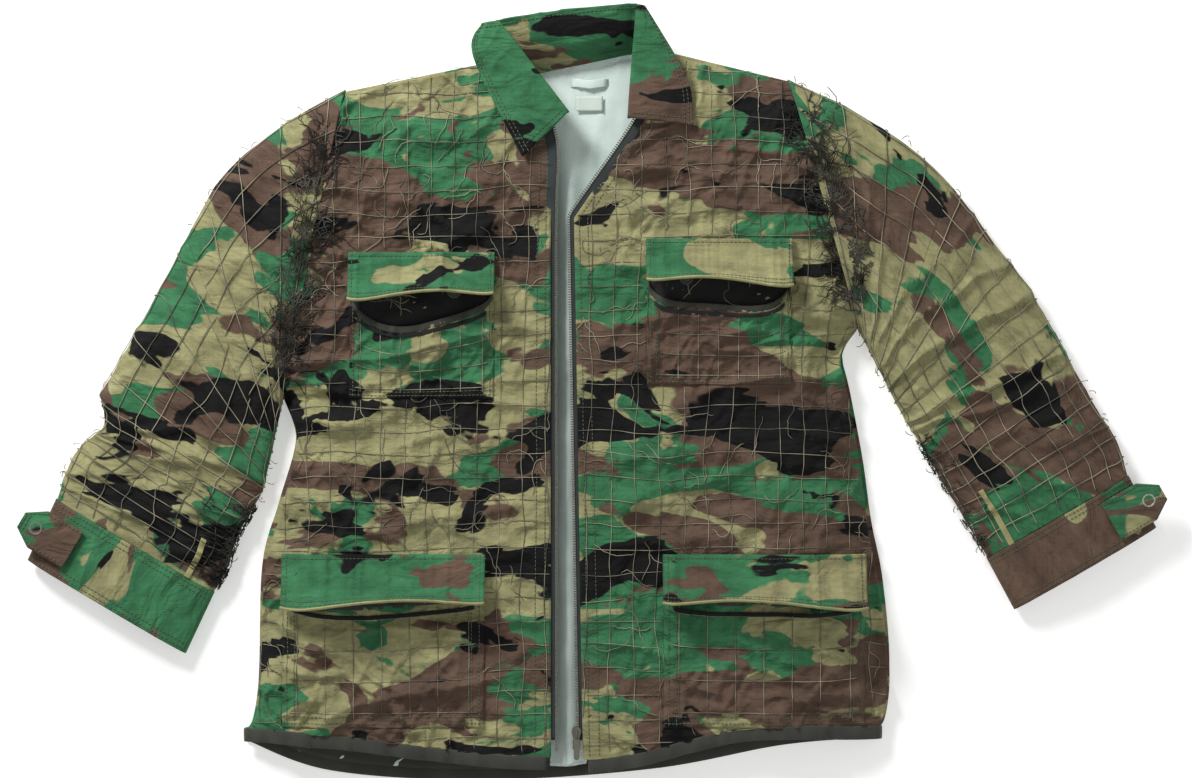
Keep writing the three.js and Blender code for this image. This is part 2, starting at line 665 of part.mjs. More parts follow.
/** Yoke, its netting and the top of the zip of one half. */
function addYoke(half) {
  add(`yoke_${half.name}`, yokeLayer(half, -CLOTH, 0), woodland);
  add(`yoke_netting_${half.name}`, yokeLayer(half, GAP, GAP + NET, true), string);
  const y0 = half.topY(half.edgeX(half.panelTop));
  const y1 = y0 + 80;
  const edge = half.neckEdge.map(([out, edgeY]) => at(ZIP_X + out, edgeY));
  const inner = line(at(half.edgeX(y0), y0), ...edge, half.neck);
  const strip = sheet(1, 6, (u, v, w) => {
    const p = inner(v * 0.36);
    const ahead = inner(v * 0.36 + 0.02).sub(p).normalize();
    const out = at(-ahead.y, ahead.x).multiplyScalar(half.sign);
    const far = 1 + (TAPE_WIDTH + BEAD_WIDTH) * u;
    const x = p.x + out.x * far;
    const y = Math.min(p.y + out.y * far, y1);
    return new THREE.Vector3(x, y, frontHeight(p.x, p.y) - CLOTH + 0.6 + w * TAPE);
  });
  add(`zip_top_${half.name}`, strip, tapeCloth);
}

const COLLAR = {
  backFoot: [at(-68, 342), at(-10, 351), at(36, 362)],
  backTop: [at(-88, 390), at(-30, 397), at(36, 406)],
  rightRoll: [at(-99, 387), at(-27, 291)],
  rightEdge: [at(-116, 385), at(-125, 350), at(-74, 246)],
  leftRoll: [at(45, 404), at(38, 286)],
  leftEdge: [at(54, 403), at(85, 352), at(101, 317), at(104, 279)],
};

/** The collar leaf behind the neck, leaning up and back from its seam. */
function collarBack() {
  const foot = line(...COLLAR.backFoot);
  const top = line(...COLLAR.backTop);
  return sheet(8, 4, (u, v, w) => {
    const p = foot(u).lerp(top(u), v);
    const z = COLLAR_FOOT + (COLLAR_STAND - COLLAR_FOOT) * Math.sin(v * Math.PI / 2) ** 0.9;
    const lean = (1 - v) * COLLAR_CLOTH * 0.8;
    return new THREE.Vector3(p.x, p.y + (w ? 0 : lean), z + w * COLLAR_CLOTH);
  });
}

/** A collar wing folded down over the yoke from its roll line. */
function collarWing(roll, edge) {
  const inner = line(...roll);
  const outer = line(...edge);
  return sheet(4, 6, (u, v, w) => {
    const p = inner(v).lerp(outer(v), u);
    const lie = COLLAR_STAND - 4 - 4 * u + 2.5 * Math.sin(Math.PI * u);
    return new THREE.Vector3(p.x, p.y, lie + w * COLLAR_CLOTH);
  });
}

/** The collar's three leaves. */
function addCollar() {
  add('collar_back', collarBack(), woodland);
  add('collar_wing_right', collarWing(COLLAR.rightRoll, COLLAR.rightEdge), woodlandGreen);
  add('collar_wing_left', collarWing(COLLAR.leftRoll, COLLAR.leftEdge), woodlandGreen);
}

// ---- sleeves --------------------------------------------------------------------------------

/** A flattened sleeve wall between an outer and an inner edge line. */
function sleeveWall(outerEdge, innerEdge, rise, offset, thickness, steps, flipped = false) {
  return tube(16, steps, (c, s, h, outside) => {
    const grow = offset - (outside ? 0 : thickness);
    const a = outerEdge(h);
    const b = innerEdge(h);
    const middle = a.clone().add(b).multiplyScalar(0.5);
    const across = a.clone().sub(b).multiplyScalar(0.5);
    const width = across.length();
    const top = rise(h);
    const flat = s < 0 ? 0.5 : 0.8;
    const sideGrow = grow > 0 ? grow * NET_SIDE_SLACK : grow;
    const side = Math.sign(c) * Math.abs(c) ** 0.85 * (width + sideGrow) / width;
    const depth = s < 0 ? SLEEVE_MID - SLEEVE_FLOOR : top;
    const z = SLEEVE_MID + Math.sign(s) * Math.abs(s) ** flat * (depth + grow);
    return new THREE.Vector3(middle.x + across.x * side, middle.y + across.y * side, z);
  }, flipped);
}

/** Sleeve down to the elbow, forearm, cuff, netting, cuff tab and snap of one half. */
function addSleeve(half) {
  const { shoulder, armpit, elbowOut, elbowIn, cuffOut, cuffIn, name } = half;
  const outward = at(elbowOut.x - shoulder.x, elbowOut.y - shoulder.y).normalize();
  const step = (p, far) => p.clone().add(outward.clone().multiplyScalar(far));
  const overUpper = half.outerUpper.map((p) => shoulder.clone().add(p));
  const upperOut = line(step(shoulder, 1.5), ...overUpper, elbowOut);
  const upperIn = line(step(armpit, 1.5), elbowIn);
  const upperRise = (h) => UPPER_SLEEVE_RISE + (FOREARM_RISE - UPPER_SLEEVE_RISE) * h;
  add(`sleeve_upper_${name}`, sleeveWall(upperOut, upperIn, upperRise, 0, CLOTH, 5), woodland);
  const upperNet = sleeveWall(upperOut, upperIn, upperRise, NET_LIFT, NET, 5, true);
  const clearance = sleeveWall(upperOut, upperIn, upperRise, GAP, CLOTH, 5);
  add(`sleeve_upper_netting_${name}`, cut(upperNet, clearance), string);

  const below = elbowOut.clone().add(elbowIn).multiplyScalar(-0.5)
    .add(cuffOut.clone().add(cuffIn).multiplyScalar(0.5)).normalize();
  const past = (p, far) => p.clone().add(below.clone().multiplyScalar(far));
  const overFore = half.outerFore.map((p) => elbowOut.clone().add(p));
  const underFore = half.innerFore.map((p) => elbowIn.clone().add(p));
  const foreOut = line(past(elbowOut, 1.5), ...overFore, past(cuffOut, -1));
  const foreIn = line(past(elbowIn, 1.5), ...underFore, past(cuffIn, -1));
  const foreRise = (h) => FOREARM_RISE + (CUFF_RISE - FOREARM_RISE) * h;
  add(`sleeve_forearm_${name}`, sleeveWall(foreOut, foreIn, foreRise, 0, CLOTH, 4), woodland);
  const foreNet = sleeveWall(foreOut, foreIn, foreRise, NET_LIFT, NET, 4, true);
  add(`sleeve_forearm_netting_${name}`, foreNet, string);

  const hemOut = cuffOut.clone().add(half.cuffDrop);
  const hemIn = cuffIn.clone().add(half.cuffDrop);
  const cuffRise = () => CUFF_RISE + 1;
  const outerHem = line(past(cuffOut, 1), hemOut);
  const innerHem = line(past(cuffIn, 1), hemIn);
  const cuff = sleeveWall(outerHem, innerHem, cuffRise, 0.6, CLOTH, 2);
  add(`cuff_${name}`, cuff, woodlandGreen);
  addCuffTab(half);
}

const TAB_LENGTH = 62;
const TAB_WIDTH = 44;
const TAB = 2.2;
const SNAP_RADIUS = 7;

/** Pointed tab that closes the cuff, with its snap. */
function addCuffTab(half) {
  const middle = half.cuffOut.clone().add(half.cuffDrop.clone().multiplyScalar(0.5));
  const inward = half.cuffIn.clone().sub(half.cuffOut).normalize();
  const foot = middle.add(inward.multiplyScalar(TAB_LENGTH - 22));
  const outline = new THREE.Shape();
  outline.moveTo(0, -TAB_WIDTH / 2);
  outline.lineTo(TAB_LENGTH * 0.68, -TAB_WIDTH / 2);
  outline.lineTo(TAB_LENGTH, -TAB_WIDTH / 5);
  outline.lineTo(TAB_LENGTH, TAB_WIDTH / 5);
  outline.lineTo(TAB_LENGTH * 0.68, TAB_WIDTH / 2);
  outline.lineTo(0, TAB_WIDTH / 2);
  const z = SLEEVE_MID + CUFF_RISE + 3;
  const turn = Math.atan2(half.cuffOut.y - half.cuffIn.y, half.cuffOut.x - half.cuffIn.x);
  const tab = new THREE.ExtrudeGeometry(outline, { depth: TAB, bevelEnabled: false });
  tab.rotateZ(turn).translate(foot.x, foot.y, z);
  add(`cuff_tab_${half.name}`, closed(tab), woodlandGreen);
  const snapAt = TAB_LENGTH * 0.72;
  const x = foot.x + Math.cos(turn) * snapAt;
  const y = foot.y + Math.sin(turn) * snapAt;
  add(`cuff_snap_${half.name}`, button(x, y, z + TAB + GAP, SNAP_RADIUS, 1.6), snapMetal);
}

// ---- assembly -------------------------------------------------------------------------------

addBack();
HALVES.forEach((half) => {
  addFront(half);
  addYoke(half);
  addSleeve(half);
});
addZipParts();
addCollar();

// The origin is under the middle of the coat, on the floor.
const bounds = new THREE.Box3().setFromObject(coat);
const centre = bounds.getCenter(new THREE.Vector3());
coat.position.set(-centre.x, -centre.y, -bounds.min.z);

export default coat;
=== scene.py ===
"""A netted woodland field coat of a ghillie suit, lying on its back with the front open.

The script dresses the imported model: every cloth, net, binding and lining solid is replaced by a
surface worked out with numpy over the same lay-out, and the metal and moulded pieces keep their
own meshes and get their finishes. Lay-out sizes are in millimetres and are turned to metres when
a mesh is made. "left" and "right" are the wearer's; the left sleeve points to +X.
"""
import logging
import math
from dataclasses import dataclass, field
from enum import Enum
from typing import Callable, Sequence

import bmesh
import bpy
import numpy as np
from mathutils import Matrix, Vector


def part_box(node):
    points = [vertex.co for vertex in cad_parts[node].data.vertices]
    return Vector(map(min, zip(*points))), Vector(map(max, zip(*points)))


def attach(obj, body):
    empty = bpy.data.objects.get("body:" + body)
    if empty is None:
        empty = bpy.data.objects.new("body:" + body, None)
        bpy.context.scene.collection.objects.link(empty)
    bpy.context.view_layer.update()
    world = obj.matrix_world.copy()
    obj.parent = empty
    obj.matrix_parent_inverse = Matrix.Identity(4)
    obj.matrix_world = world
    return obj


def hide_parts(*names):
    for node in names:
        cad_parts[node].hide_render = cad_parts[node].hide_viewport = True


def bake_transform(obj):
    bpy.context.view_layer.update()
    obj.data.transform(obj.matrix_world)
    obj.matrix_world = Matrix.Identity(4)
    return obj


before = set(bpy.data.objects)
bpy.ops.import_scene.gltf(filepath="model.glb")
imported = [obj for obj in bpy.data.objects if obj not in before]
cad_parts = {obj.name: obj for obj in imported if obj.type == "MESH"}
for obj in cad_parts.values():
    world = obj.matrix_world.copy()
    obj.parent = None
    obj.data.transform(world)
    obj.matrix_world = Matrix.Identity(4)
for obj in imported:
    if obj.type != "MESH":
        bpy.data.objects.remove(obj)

LOG = logging.getLogger("coat")
MM = 0.001
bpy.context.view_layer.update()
Array = np.ndarray
Colour = bpy.types.NodeSocket | tuple[float, float, float, float]


# ---- numbers that the whole coat shares -----------------------------------------------------


class Side(Enum):
    """The wearer's right or left half; the value is the sign of its X direction."""

    RIGHT = -1
    LEFT = 1

    @property
    def label(self) -> str:
        """The half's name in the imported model."""
        return self.name.lower()


@dataclass(frozen=True)
class Lay:
    """How the coat lies, in millimetres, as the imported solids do."""

    zip_x: float = -26.0
    height: float = 36.0
    side_height: float = 12.0
    crown: float = 70.0
    shoulder_crown: float = 80.0
    hem_band: float = 14.0
    zip_strip: float = 12.6
    sleeve_mid: float = 12.0
    sleeve_floor: float = 2.6
    upper_rise: float = 24.0
    fore_rise: float = 20.0
    cuff_rise: float = 13.0


LAY = Lay()
SAND = "#939068"
NET_PITCH = 25.0
NET_TOP = 0.75
STITCH_PITCH = 4.4
STITCH = (3.0, 0.7, 0.6)
TOOTH_PITCH = 2.6
TOOTH = (3.0, 1.4, 2.2)
BAND_SIDES = 12
TINY = 1e-9
LEAST_CUT = 0.3
UP = np.array([0.0, 0.0, 1.0])


def origin_shift() -> Array:
    """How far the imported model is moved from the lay-out, in millimetres: x and y."""
    low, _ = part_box("hanger_loop")
    return np.array([low[0] / MM - (LAY.zip_x + 2), low[1] / MM - 318.0])


SHIFT = origin_shift()


def smooth_line(points: Sequence[Sequence[float]], t: Array) -> Array:
    """A smooth line through a few points, read by the share of its length.

    Each span is the cubic whose slope at a point is half the step between its two neighbours.

    Args:
        points: two or more (x, y) points.
        t: shares of the length, from 0 to 1.

    Returns:
        The points at those shares, with x and y last.
    """
    knots = np.asarray(points, float)
    if len(knots) == 2:
        return knots[0] + (knots[1] - knots[0]) * np.asarray(t)[..., None]
    ends = np.vstack([knots[:1], knots, knots[-1:]])
    s = np.linspace(0, 1, 40)[:, None]
    spans = []
    for a, b, c, d in zip(ends[:-3], ends[1:-2], ends[2:-1], ends[3:]):
        v0, v1 = (c - a) / 2, (d - b) / 2
        spans.append((2 * b - 2 * c + v0 + v1) * s**3 + (3 * c - 3 * b - 2 * v0 - v1) * s**2 + v0 * s + b)
    path = np.vstack(spans)
    far = np.concatenate([[0], np.cumsum(np.linalg.norm(np.diff(path, axis=0), axis=1))])
    far /= far[-1]
    return np.stack([np.interp(t, far, path[:, i]) for i in range(2)], axis=-1)


def ramp(x: Array, low: float, high: float) -> Array:
    """0 below low, 1 above high, and the smooth cubic 3t^2 - 2t^3 between them."""
    t = np.clip((np.asarray(x, float) - low) / (high - low), 0, 1)
    return t * t * (3 - 2 * t)


def lattice(x: Array, y: Array, seed: int) -> Array:
    """Smooth random field: random values on a unit grid, joined by smooth cubics, from -1 to 1.

    Args:
        x: first coordinate, in grid units.
        y: second coordinate, in grid units.
        seed: which random field or row.

    Returns:
        Values from -1 to 1.
    """
    table = np.random.default_rng(seed).uniform(-1, 1, (128, 128))
    ix, iy = np.floor(x).astype(int), np.floor(y).astype(int)
    fx, fy = x - ix, y - iy
    fx, fy = fx * fx * (3 - 2 * fx), fy * fy * (3 - 2 * fy)
    a, b = table[ix % 128, iy % 128], table[(ix + 1) % 128, iy % 128]
    c, d = table[ix % 128, (iy + 1) % 128], table[(ix + 1) % 128, (iy + 1) % 128]
    return (a * (1 - fx) + b * fx) * (1 - fy) + (c * (1 - fx) + d * fx) * fy


def cloudy(x: Array, y: Array, size: float, seed: int, octaves: int = 3) -> Array:
    """Sum of smooth random fields, each half as large and half as high as the one before.

    Args:
        x: places across the coat, in lay-out millimetres.
        y: places along the coat, in lay-out millimetres.
        size: width of the largest patches, in the unit of the points.
        seed: which random field or row.
        octaves: how many fields are added.

    Returns:
        Values from about -1.8 to 1.8.
    """
    total, high = np.zeros(np.broadcast(x, y).shape), 1.0
    for i in range(octaves):
        total = total + high * lattice(x / size * 2**i + 17.3 * i, y / size * 2**i + 9.1 * i, seed + i)
        high /= 2
    return total


def folds(x: Array, y: Array, turn: float, length: float, width: float, seed: int) -> Array:
    """Long soft creases: the ridges where a stretched random field crosses zero.

    Args:
        x, y: points, in millimetres.
        turn: direction that the creases run, in degrees from +X.
        length: how far a crease runs.
        width: spacing of the creases.
        seed: which field.

    Returns:
        Heights from about -0.5 in the valleys to 1 on the ridges.
    """
    c, s = math.cos(math.radians(turn)), math.sin(math.radians(turn))
    bend = 0.35 * width * cloudy(x, y, 2.2 * width, seed + 50, 2)
    along, across = (c * x + s * y) / length, (-s * x + c * y + bend) / width
    n = lattice(along, across, seed) + 0.45 * lattice(along * 2.3 + 5, across * 1.9 + 3, seed + 1)
    return (1 - np.abs(np.clip(n * 1.6, -1, 1))) ** 1.9 * 1.6 - 0.45


# ---- meshes -------------------------------------------------------------------------------


def make_piece(name: str, verts: Array, faces: Array, smooth: bool = True) -> bpy.types.Object:
    """Puts vertices, in millimetres, and quads or triangles into a new object.

    Args:
        name: the piece's name.
        verts: an array of n by 3.
        faces: an array of m by 3 or m by 4 of vertex numbers.
        smooth: whether the faces are shaded smooth.

    Returns:
        The new object, linked to the scene, at the origin.
    """
    mesh = bpy.data.meshes.new(name)
    placed = np.asarray(verts, float).reshape(-1, 3).copy()
    placed[:, :2] += SHIFT
    placed *= MM
    corners = faces.shape[1]
    mesh.vertices.add(len(placed))
    mesh.vertices.foreach_set("co", placed.astype(np.float32).ravel())
    mesh.loops.add(faces.size)
    mesh.loops.foreach_set("vertex_index", faces.astype(np.int32).ravel())
    mesh.polygons.add(len(faces))
    mesh.polygons.foreach_set("loop_start", np.arange(0, faces.size, corners, dtype=np.int32))
    mesh.polygons.foreach_set("loop_total", np.full(len(faces), corners, dtype=np.int32))
    mesh.polygons.foreach_set("use_smooth", np.full(len(faces), smooth))
    mesh.update(calc_edges=True)
    mesh.validate()
    piece = bpy.data.objects.new(name, mesh)
    bpy.context.scene.collection.objects.link(piece)
    return piece


def grid_faces(rows: int, cols: int, wrap: bool = False, flip: bool = False) -> Array:
    """Quads of a grid whose vertices run row by row; wrap joins the last column to the first.

    Args:
        rows: rows of the grid.
        cols: columns of the grid.
        wrap: whether the last column joins the first.
        flip: whether the quads are turned over.

    Returns:
        Quads (n, 4).
    """
    r = np.arange(rows - 1)[:, None]
    c = np.arange(cols if wrap else cols - 1)[None, :]
    a, b = r * cols + c, r * cols + (c + 1) % cols
    quads = np.stack([a, b, b + cols, a + cols], axis=-1).reshape(-1, 4)
    return quads[:, ::-1] if flip else quads


def face_up(spots: Array, faces: Array) -> Array:
    """Turns a grid's faces over if most of them look down.

    Args:
        spots: grid of points (rows, cols, 3), in millimetres.
        faces: vertex numbers of the faces.

    Returns:
        The faces, looking up.
    """
    p = spots.reshape(-1, 3)
    cross = np.cross(p[faces[:, 1]] - p[faces[:, 0]], p[faces[:, -1]] - p[faces[:, 0]])
    return faces if cross[:, 2].sum() > 0 else faces[:, ::-1]


def cloth_sheet(name: str, spots: Array, thickness: float, up: bool = True) -> bpy.types.Object:
    """A sheet from a grid of points (rows, cols, 3), with its thickness laid under it.

    Args:
        name: the piece's name.
        spots: the grid of its upper face, in millimetres.
        thickness: millimetres of cloth under that face.
        up: whether the given face looks up.

    Returns:
        The new object, with a Solidify modifier.
    """
    rows, cols, _ = spots.shape
    faces = face_up(spots, grid_faces(rows, cols))
    piece = make_piece(name, spots, faces if up else faces[:, ::-1])
    wall = piece.modifiers.new("cloth", "SOLIDIFY")
    wall.thickness = thickness * MM
    wall.offset = -1
    return piece


def tubes(lines: Sequence[Array], radius: float, sides: int = 4) -> tuple[Array, Array]:
    """Closed string tubes along polylines, each a ring of points carried along its line.

    Args:
        lines: arrays of n by 3 points, in millimetres.
        radius: the string's radius.
        sides: sides of its section.

    Returns:
        Vertices and quads of all of the tubes.
    """
    verts, quads, start = [], [], 0
    turns = np.arange(sides) / sides * 2 * np.pi + np.pi / 4
    for path in lines:
        n = len(path)
        if n < 2:
            continue
        along = np.gradient(path, axis=0)
        along /= np.linalg.norm(along, axis=1, keepdims=True) + TINY
        up = np.tile([0.03, 0.05, 1.0], (n, 1))
        side = np.cross(along, up)
        side /= np.linalg.norm(side, axis=1, keepdims=True) + TINY
        rise = np.cross(side, along)
        ring = np.cos(turns)[None, :, None] * side[:, None] + np.sin(turns)[None, :, None] * rise[:, None]
        shrink = np.ones(n)
        shrink[[0, -1]] = 0.35
        verts.append((path[:, None] + radius * shrink[:, None, None] * ring).reshape(-1, 3))
        quads.append(grid_faces(n, sides, wrap=True) + start)
        cap = np.arange(sides)
        last = start + (n - 1) * sides
        quads.append((cap[::-1] + start)[None, :4] if sides == 4 else np.empty((0, 4), int))
        quads.append((cap + last)[None, :4] if sides == 4 else np.empty((0, 4), int))
        start += n * sides
    return np.vstack(verts), np.vstack(quads)


def string_piece(name: str, lines: Sequence[Array], radius: float) -> bpy.types.Object:
    """One object of many four-sided strings."""
    verts, quads = tubes(lines, radius)
    return make_piece(name, verts, quads)


def runs(points: Array, inside: Array, least: int = 4) -> list[Array]:
    """The stretches of a polyline that lie inside, each of at least a few points."""
    edges = np.flatnonzero(np.diff(np.concatenate([[0], inside.astype(int), [0]])))
    return [points[a:b] for a, b in zip(edges[::2], edges[1::2]) if b - a >= least]


# ---- finishes -----------------------------------------------------------------------------


def srgb(text: str) -> tuple[float, float, float, float]:
    """A hex colour as linear red, green, blue and 1.

    Args:
        text: six hex digits after a hash.

    Returns:
        Linear red, green, blue and alpha.
    """
    parts = [int(text[i : i + 2], 16) / 255 for i in (1, 3, 5)]
    linear = [c / 12.92 if c <= 0.04045 else ((c + 0.055) / 1.055) ** 2.4 for c in parts]
    return (*linear, 1.0)


def put(tree: bpy.types.NodeTree, kind: str, inputs: dict | None = None, **settings) -> bpy.types.Node:
    """Adds a node, sets its properties, and sets or links its inputs.

    Args:
        tree: the material's node tree.
        kind: the node's type name.
        inputs: socket name or number to a value, or to an output socket to link.
        settings: properties of the node itself.

    Returns:
        The node.
    """
    node = tree.nodes.new(kind)
    for key, value in settings.items():
        setattr(node, key, value)
    for key, value in (inputs or {}).items():
        if isinstance(value, bpy.types.NodeSocket):
            tree.links.new(value, node.inputs[key])
        else:
            node.inputs[key].default_value = value
    return node


def stepped(
    tree: bpy.types.NodeTree, value: bpy.types.NodeSocket, at: float, soft: float
) -> bpy.types.NodeSocket:
    """0 below a level and 1 above it, with a narrow soft edge.

    Args:
        tree: the material's node tree.
        value: the value that is stepped.
        at: the level.
        soft: half the width of the soft edge.

    Returns:
        The socket of the result.
    """
    node = put(tree, "ShaderNodeMapRange", {"Value": value, "From Min": at - soft, "From Max": at + soft},
               interpolation_type="SMOOTHSTEP")
    return node.outputs["Result"]


def blended(
    tree: bpy.types.NodeTree, share: bpy.types.NodeSocket | float, first: Colour, second: Colour,
    how: str = "MIX",
) -> bpy.types.NodeSocket:
    """Mixes two colours by a share and returns the result's socket."""
    node = put(tree, "ShaderNodeMix", {0: share, 6: first, 7: second}, data_type="RGBA", blend_type=how)
    return node.outputs[2]


@dataclass(frozen=True)
class Finish:
    """What every finish has: a name, a colour, and how rough and how metallic it is."""

    name: str
    colour: str
    roughness: float = 0.8
    metallic: float = 0.0

    def start(self) -> tuple[bpy.types.Material, bpy.types.NodeTree, bpy.types.Node]:
        """A new material, its tree and its shader.

        Returns:
            The material, its node tree and its shader node.
        """
        material = bpy.data.materials.new(self.name)
        material.use_nodes = True
        shader = material.node_tree.nodes["Principled BSDF"]
        shader.inputs["Base Color"].default_value = srgb(self.colour)
        shader.inputs["Roughness"].default_value = self.roughness
        shader.inputs["Metallic"].default_value = self.metallic
        return material, material.node_tree, shader

    def build(self) -> bpy.types.Material:
        """The finish as a material, made once for each use."""
        raise NotImplementedError


@dataclass(frozen=True)
class WoodlandCloth(Finish):
    """Ripstop cotton and nylon, screen printed in four colours, and made lighter and darker in patches.

    The print gives soft-edged blotches that run across the cloth, longer than they are high, and
    the matt fibres give a faint sheen at glancing angles.
    """

    turn: float = 0.0
    offset: tuple[float, float] = (0.0, 0.0)
    green: str = "#39714c"
    brown: str = "#5f4c40"
    black: str = "#141414"
    shade: float = 1.0
    green_at: float = 0.515
    brown_at: float = 0.525
    black_at: float = 0.6
    edge: float = 0.006
    ragged: float = 3.6
    stretch: tuple[float, float, float] = (0.58, 1.25, 0.8)
    green_size: float = 0.1
    brown_size: float = 0.108
    black_size: float = 0.084
    ripstop: float = 0.005
    ripstop_thread: float = 0.0005

    def blotches(
        self, tree: bpy.types.NodeTree, place: bpy.types.NodeSocket, seed: float, size: float
    ) -> bpy.types.NodeSocket:
        """A random field whose features are about as wide as size, in metres, and ragged.

        Args:
            tree: the material's node tree.
            place: the socket of the printed place.
            seed: which field.
            size: width of the features, in metres.

        Returns:
            The field's socket.
        """
        moved = put(tree, "ShaderNodeVectorMath", {
            0: place, 1: (seed, seed * 0.7, seed * 1.3)}, operation="ADD")
        noise = put(tree, "ShaderNodeTexNoise", {
            "Vector": moved.outputs[0], "Scale": 1 / size,
            "Detail": self.ragged, "Roughness": 0.53, "Distortion": 0.5,
        })
        return noise.outputs["Fac"]

    def build(self) -> bpy.types.Material:
        """Four printed colours, lighter and darker patches, weave and thread bump.

        Returns:
            The material.
        """
        material, tree, shader = self.start()
        coords = put(tree, "ShaderNodeTexCoord")
        turned = put(tree, "ShaderNodeMapping", {
            "Vector": coords.outputs["Object"],
            "Location": (self.offset[0], self.offset[1], 0),
            "Rotation": (0, 0, math.radians(-self.turn)),
        })
        placed = put(tree, "ShaderNodeMapping", {"Vector": turned.outputs["Vector"], "Scale": self.stretch})
        place = placed.outputs["Vector"]
        green = stepped(tree, self.blotches(tree, place, 0.0, self.green_size), self.green_at, self.edge)
        brown = stepped(tree, self.blotches(tree, place, 3.1, self.brown_size), self.brown_at, self.edge)
        black = stepped(tree, self.blotches(tree, place, 7.7, self.black_size), self.black_at, self.edge)
        colour = blended(tree, green, srgb(self.colour), srgb(self.green))
        colour = blended(tree, brown, colour, srgb(self.brown))
        colour = blended(tree, black, colour, srgb(self.black))
        # The colour is made lighter and darker in patches of about 24 mm.
        mottling = put(tree, "ShaderNodeTexNoise", {
            "Vector": placed.outputs["Vector"], "Scale": 42.0, "Detail": 7.0, "Roughness": 0.68})
        fade = put(tree, "ShaderNodeMapRange", {
            "Value": mottling.outputs["Fac"], "From Min": 0.3, "From Max": 0.7,
            "To Min": 0.62 * self.shade, "To Max": 1.34 * self.shade,
        })
        grey = put(tree, "ShaderNodeCombineColor", {i: fade.outputs[0] for i in range(3)})
        colour = blended(tree, 1.0, colour, grey.outputs[0], "MULTIPLY")
        # Ripstop threads lie 5 mm apart on the real cloth, and are drawn at that pitch.
        weave = put(tree, "ShaderNodeTexBrick", {
            "Vector": coords.outputs["Object"], "Scale": 1.0, "Brick Width": self.ripstop,
            "Row Height": self.ripstop, "Mortar Size": self.ripstop_thread, "Mortar Smooth": 0.6,
        }, offset=0.0)
        # Yarns are 0.3 mm wide on the real cloth, and are drawn 1.1 mm wide so that they show.
        fibre = put(tree, "ShaderNodeTexNoise", {
            "Vector": coords.outputs["Object"], "Scale": 900.0, "Detail": 2.0})
        thread = put(tree, "ShaderNodeMath", {
            0: weave.outputs["Fac"], 1: fibre.outputs["Fac"]}, operation="ADD")
        # Hard creases left by folding and wear are 30 to 60 mm long and up to 12 mm deep.
        pulled = put(tree, "ShaderNodeMapping", {
            "Vector": turned.outputs["Vector"], "Scale": (0.45, 1.0, 1.0)})
        wrung = put(tree, "ShaderNodeTexNoise", {
            "Vector": pulled.outputs["Vector"],
            "Scale": 34.0, "Detail": 3.0, "Roughness": 0.5, "Distortion": 1.1})
        crease = put(tree, "ShaderNodeBump", {
            "Height": wrung.outputs["Fac"], "Strength": 0.75, "Distance": 0.012})
        bump = put(tree, "ShaderNodeBump", {
            "Height": thread.outputs[0], "Strength": 0.35, "Distance": 0.0006,
            "Normal": crease.outputs["Normal"]})
        tree.links.new(colour, shader.inputs["Base Color"])
        tree.links.new(bump.outputs["Normal"], shader.inputs["Normal"])
        shader.inputs["Sheen Weight"].default_value = 0.03
        shader.inputs["Specular IOR Level"].default_value = 0.2
        return material


@dataclass(frozen=True)
class TwistedTwine(Finish):
    """Three-strand twine of dyed jute and nylon: a pale ply colour and a darker one, in patches."""

    dark: str = "#4c4a3e"

    def build(self) -> bpy.types.Material:
        """Colour that changes from string to string, with a fibrous bump.

        Returns:
            The material.
        """
        material, tree, shader = self.start()
        coords = put(tree, "ShaderNodeTexCoord")
        patch = put(tree, "ShaderNodeTexNoise", {
            "Vector": coords.outputs["Object"], "Scale": 22.0, "Detail": 4.0})
        share = stepped(tree, patch.outputs["Fac"], 0.5, 0.14)
        colour = blended(tree, share, srgb(self.dark), srgb(self.colour))
        # Plies are 0.7 mm apart along a string of that size.
        ply = put(tree, "ShaderNodeTexNoise", {"Vector": coords.outputs["Object"], "Scale": 1400.0})
        bump = put(tree, "ShaderNodeBump", {
            "Height": ply.outputs["Fac"], "Strength": 0.5, "Distance": 0.0004})
        tree.links.new(colour, shader.inputs["Base Color"])
        tree.links.new(bump.outputs["Normal"], shader.inputs["Normal"])
        return material


@dataclass(frozen=True)
class WovenCloth(Finish):
    """Plain woven cloth or tape in one dye, with a fine rib and uneven wear."""

    rib: float = 0.0016
    sheen: float = 0.1
    vary: float = 0.2

    def build(self) -> bpy.types.Material:
        """One dye, lighter where it is worn, with a ribbed bump.

        Returns:
            The material.
        """
        material, tree, shader = self.start()
        coords = put(tree, "ShaderNodeTexCoord")
        # Wear comes in patches of about 30 mm.
        mottling = put(tree, "ShaderNodeTexNoise", {
            "Vector": coords.outputs["Object"], "Scale": 35.0, "Detail": 5.0})
        level = put(tree, "ShaderNodeMapRange", {
            "Value": mottling.outputs["Fac"], "From Min": 0.3, "From Max": 0.7,
            "To Min": 1 - self.vary, "To Max": 1 + self.vary,
        })
        grey = put(tree, "ShaderNodeCombineColor", {i: level.outputs[0] for i in range(3)})
        colour = blended(tree, 1.0, srgb(self.colour), grey.outputs[0], "MULTIPLY")
        # Bands of scale s repeat every 0.31 / s; the real rib is 0.8 mm and is drawn twice as coarse.
        rib = put(tree, "ShaderNodeTexWave", {
            "Vector": coords.outputs["Object"], "Scale": 0.31 / self.rib, "Distortion": 0.6,
        }, wave_type="BANDS", bands_direction="DIAGONAL")
        bump = put(tree, "ShaderNodeBump", {
            "Height": rib.outputs["Fac"], "Strength": 0.3, "Distance": 0.0005})
        tree.links.new(colour, shader.inputs["Base Color"])
        tree.links.new(bump.outputs["Normal"], shader.inputs["Normal"])
        shader.inputs["Sheen Weight"].default_value = self.sheen
        return material


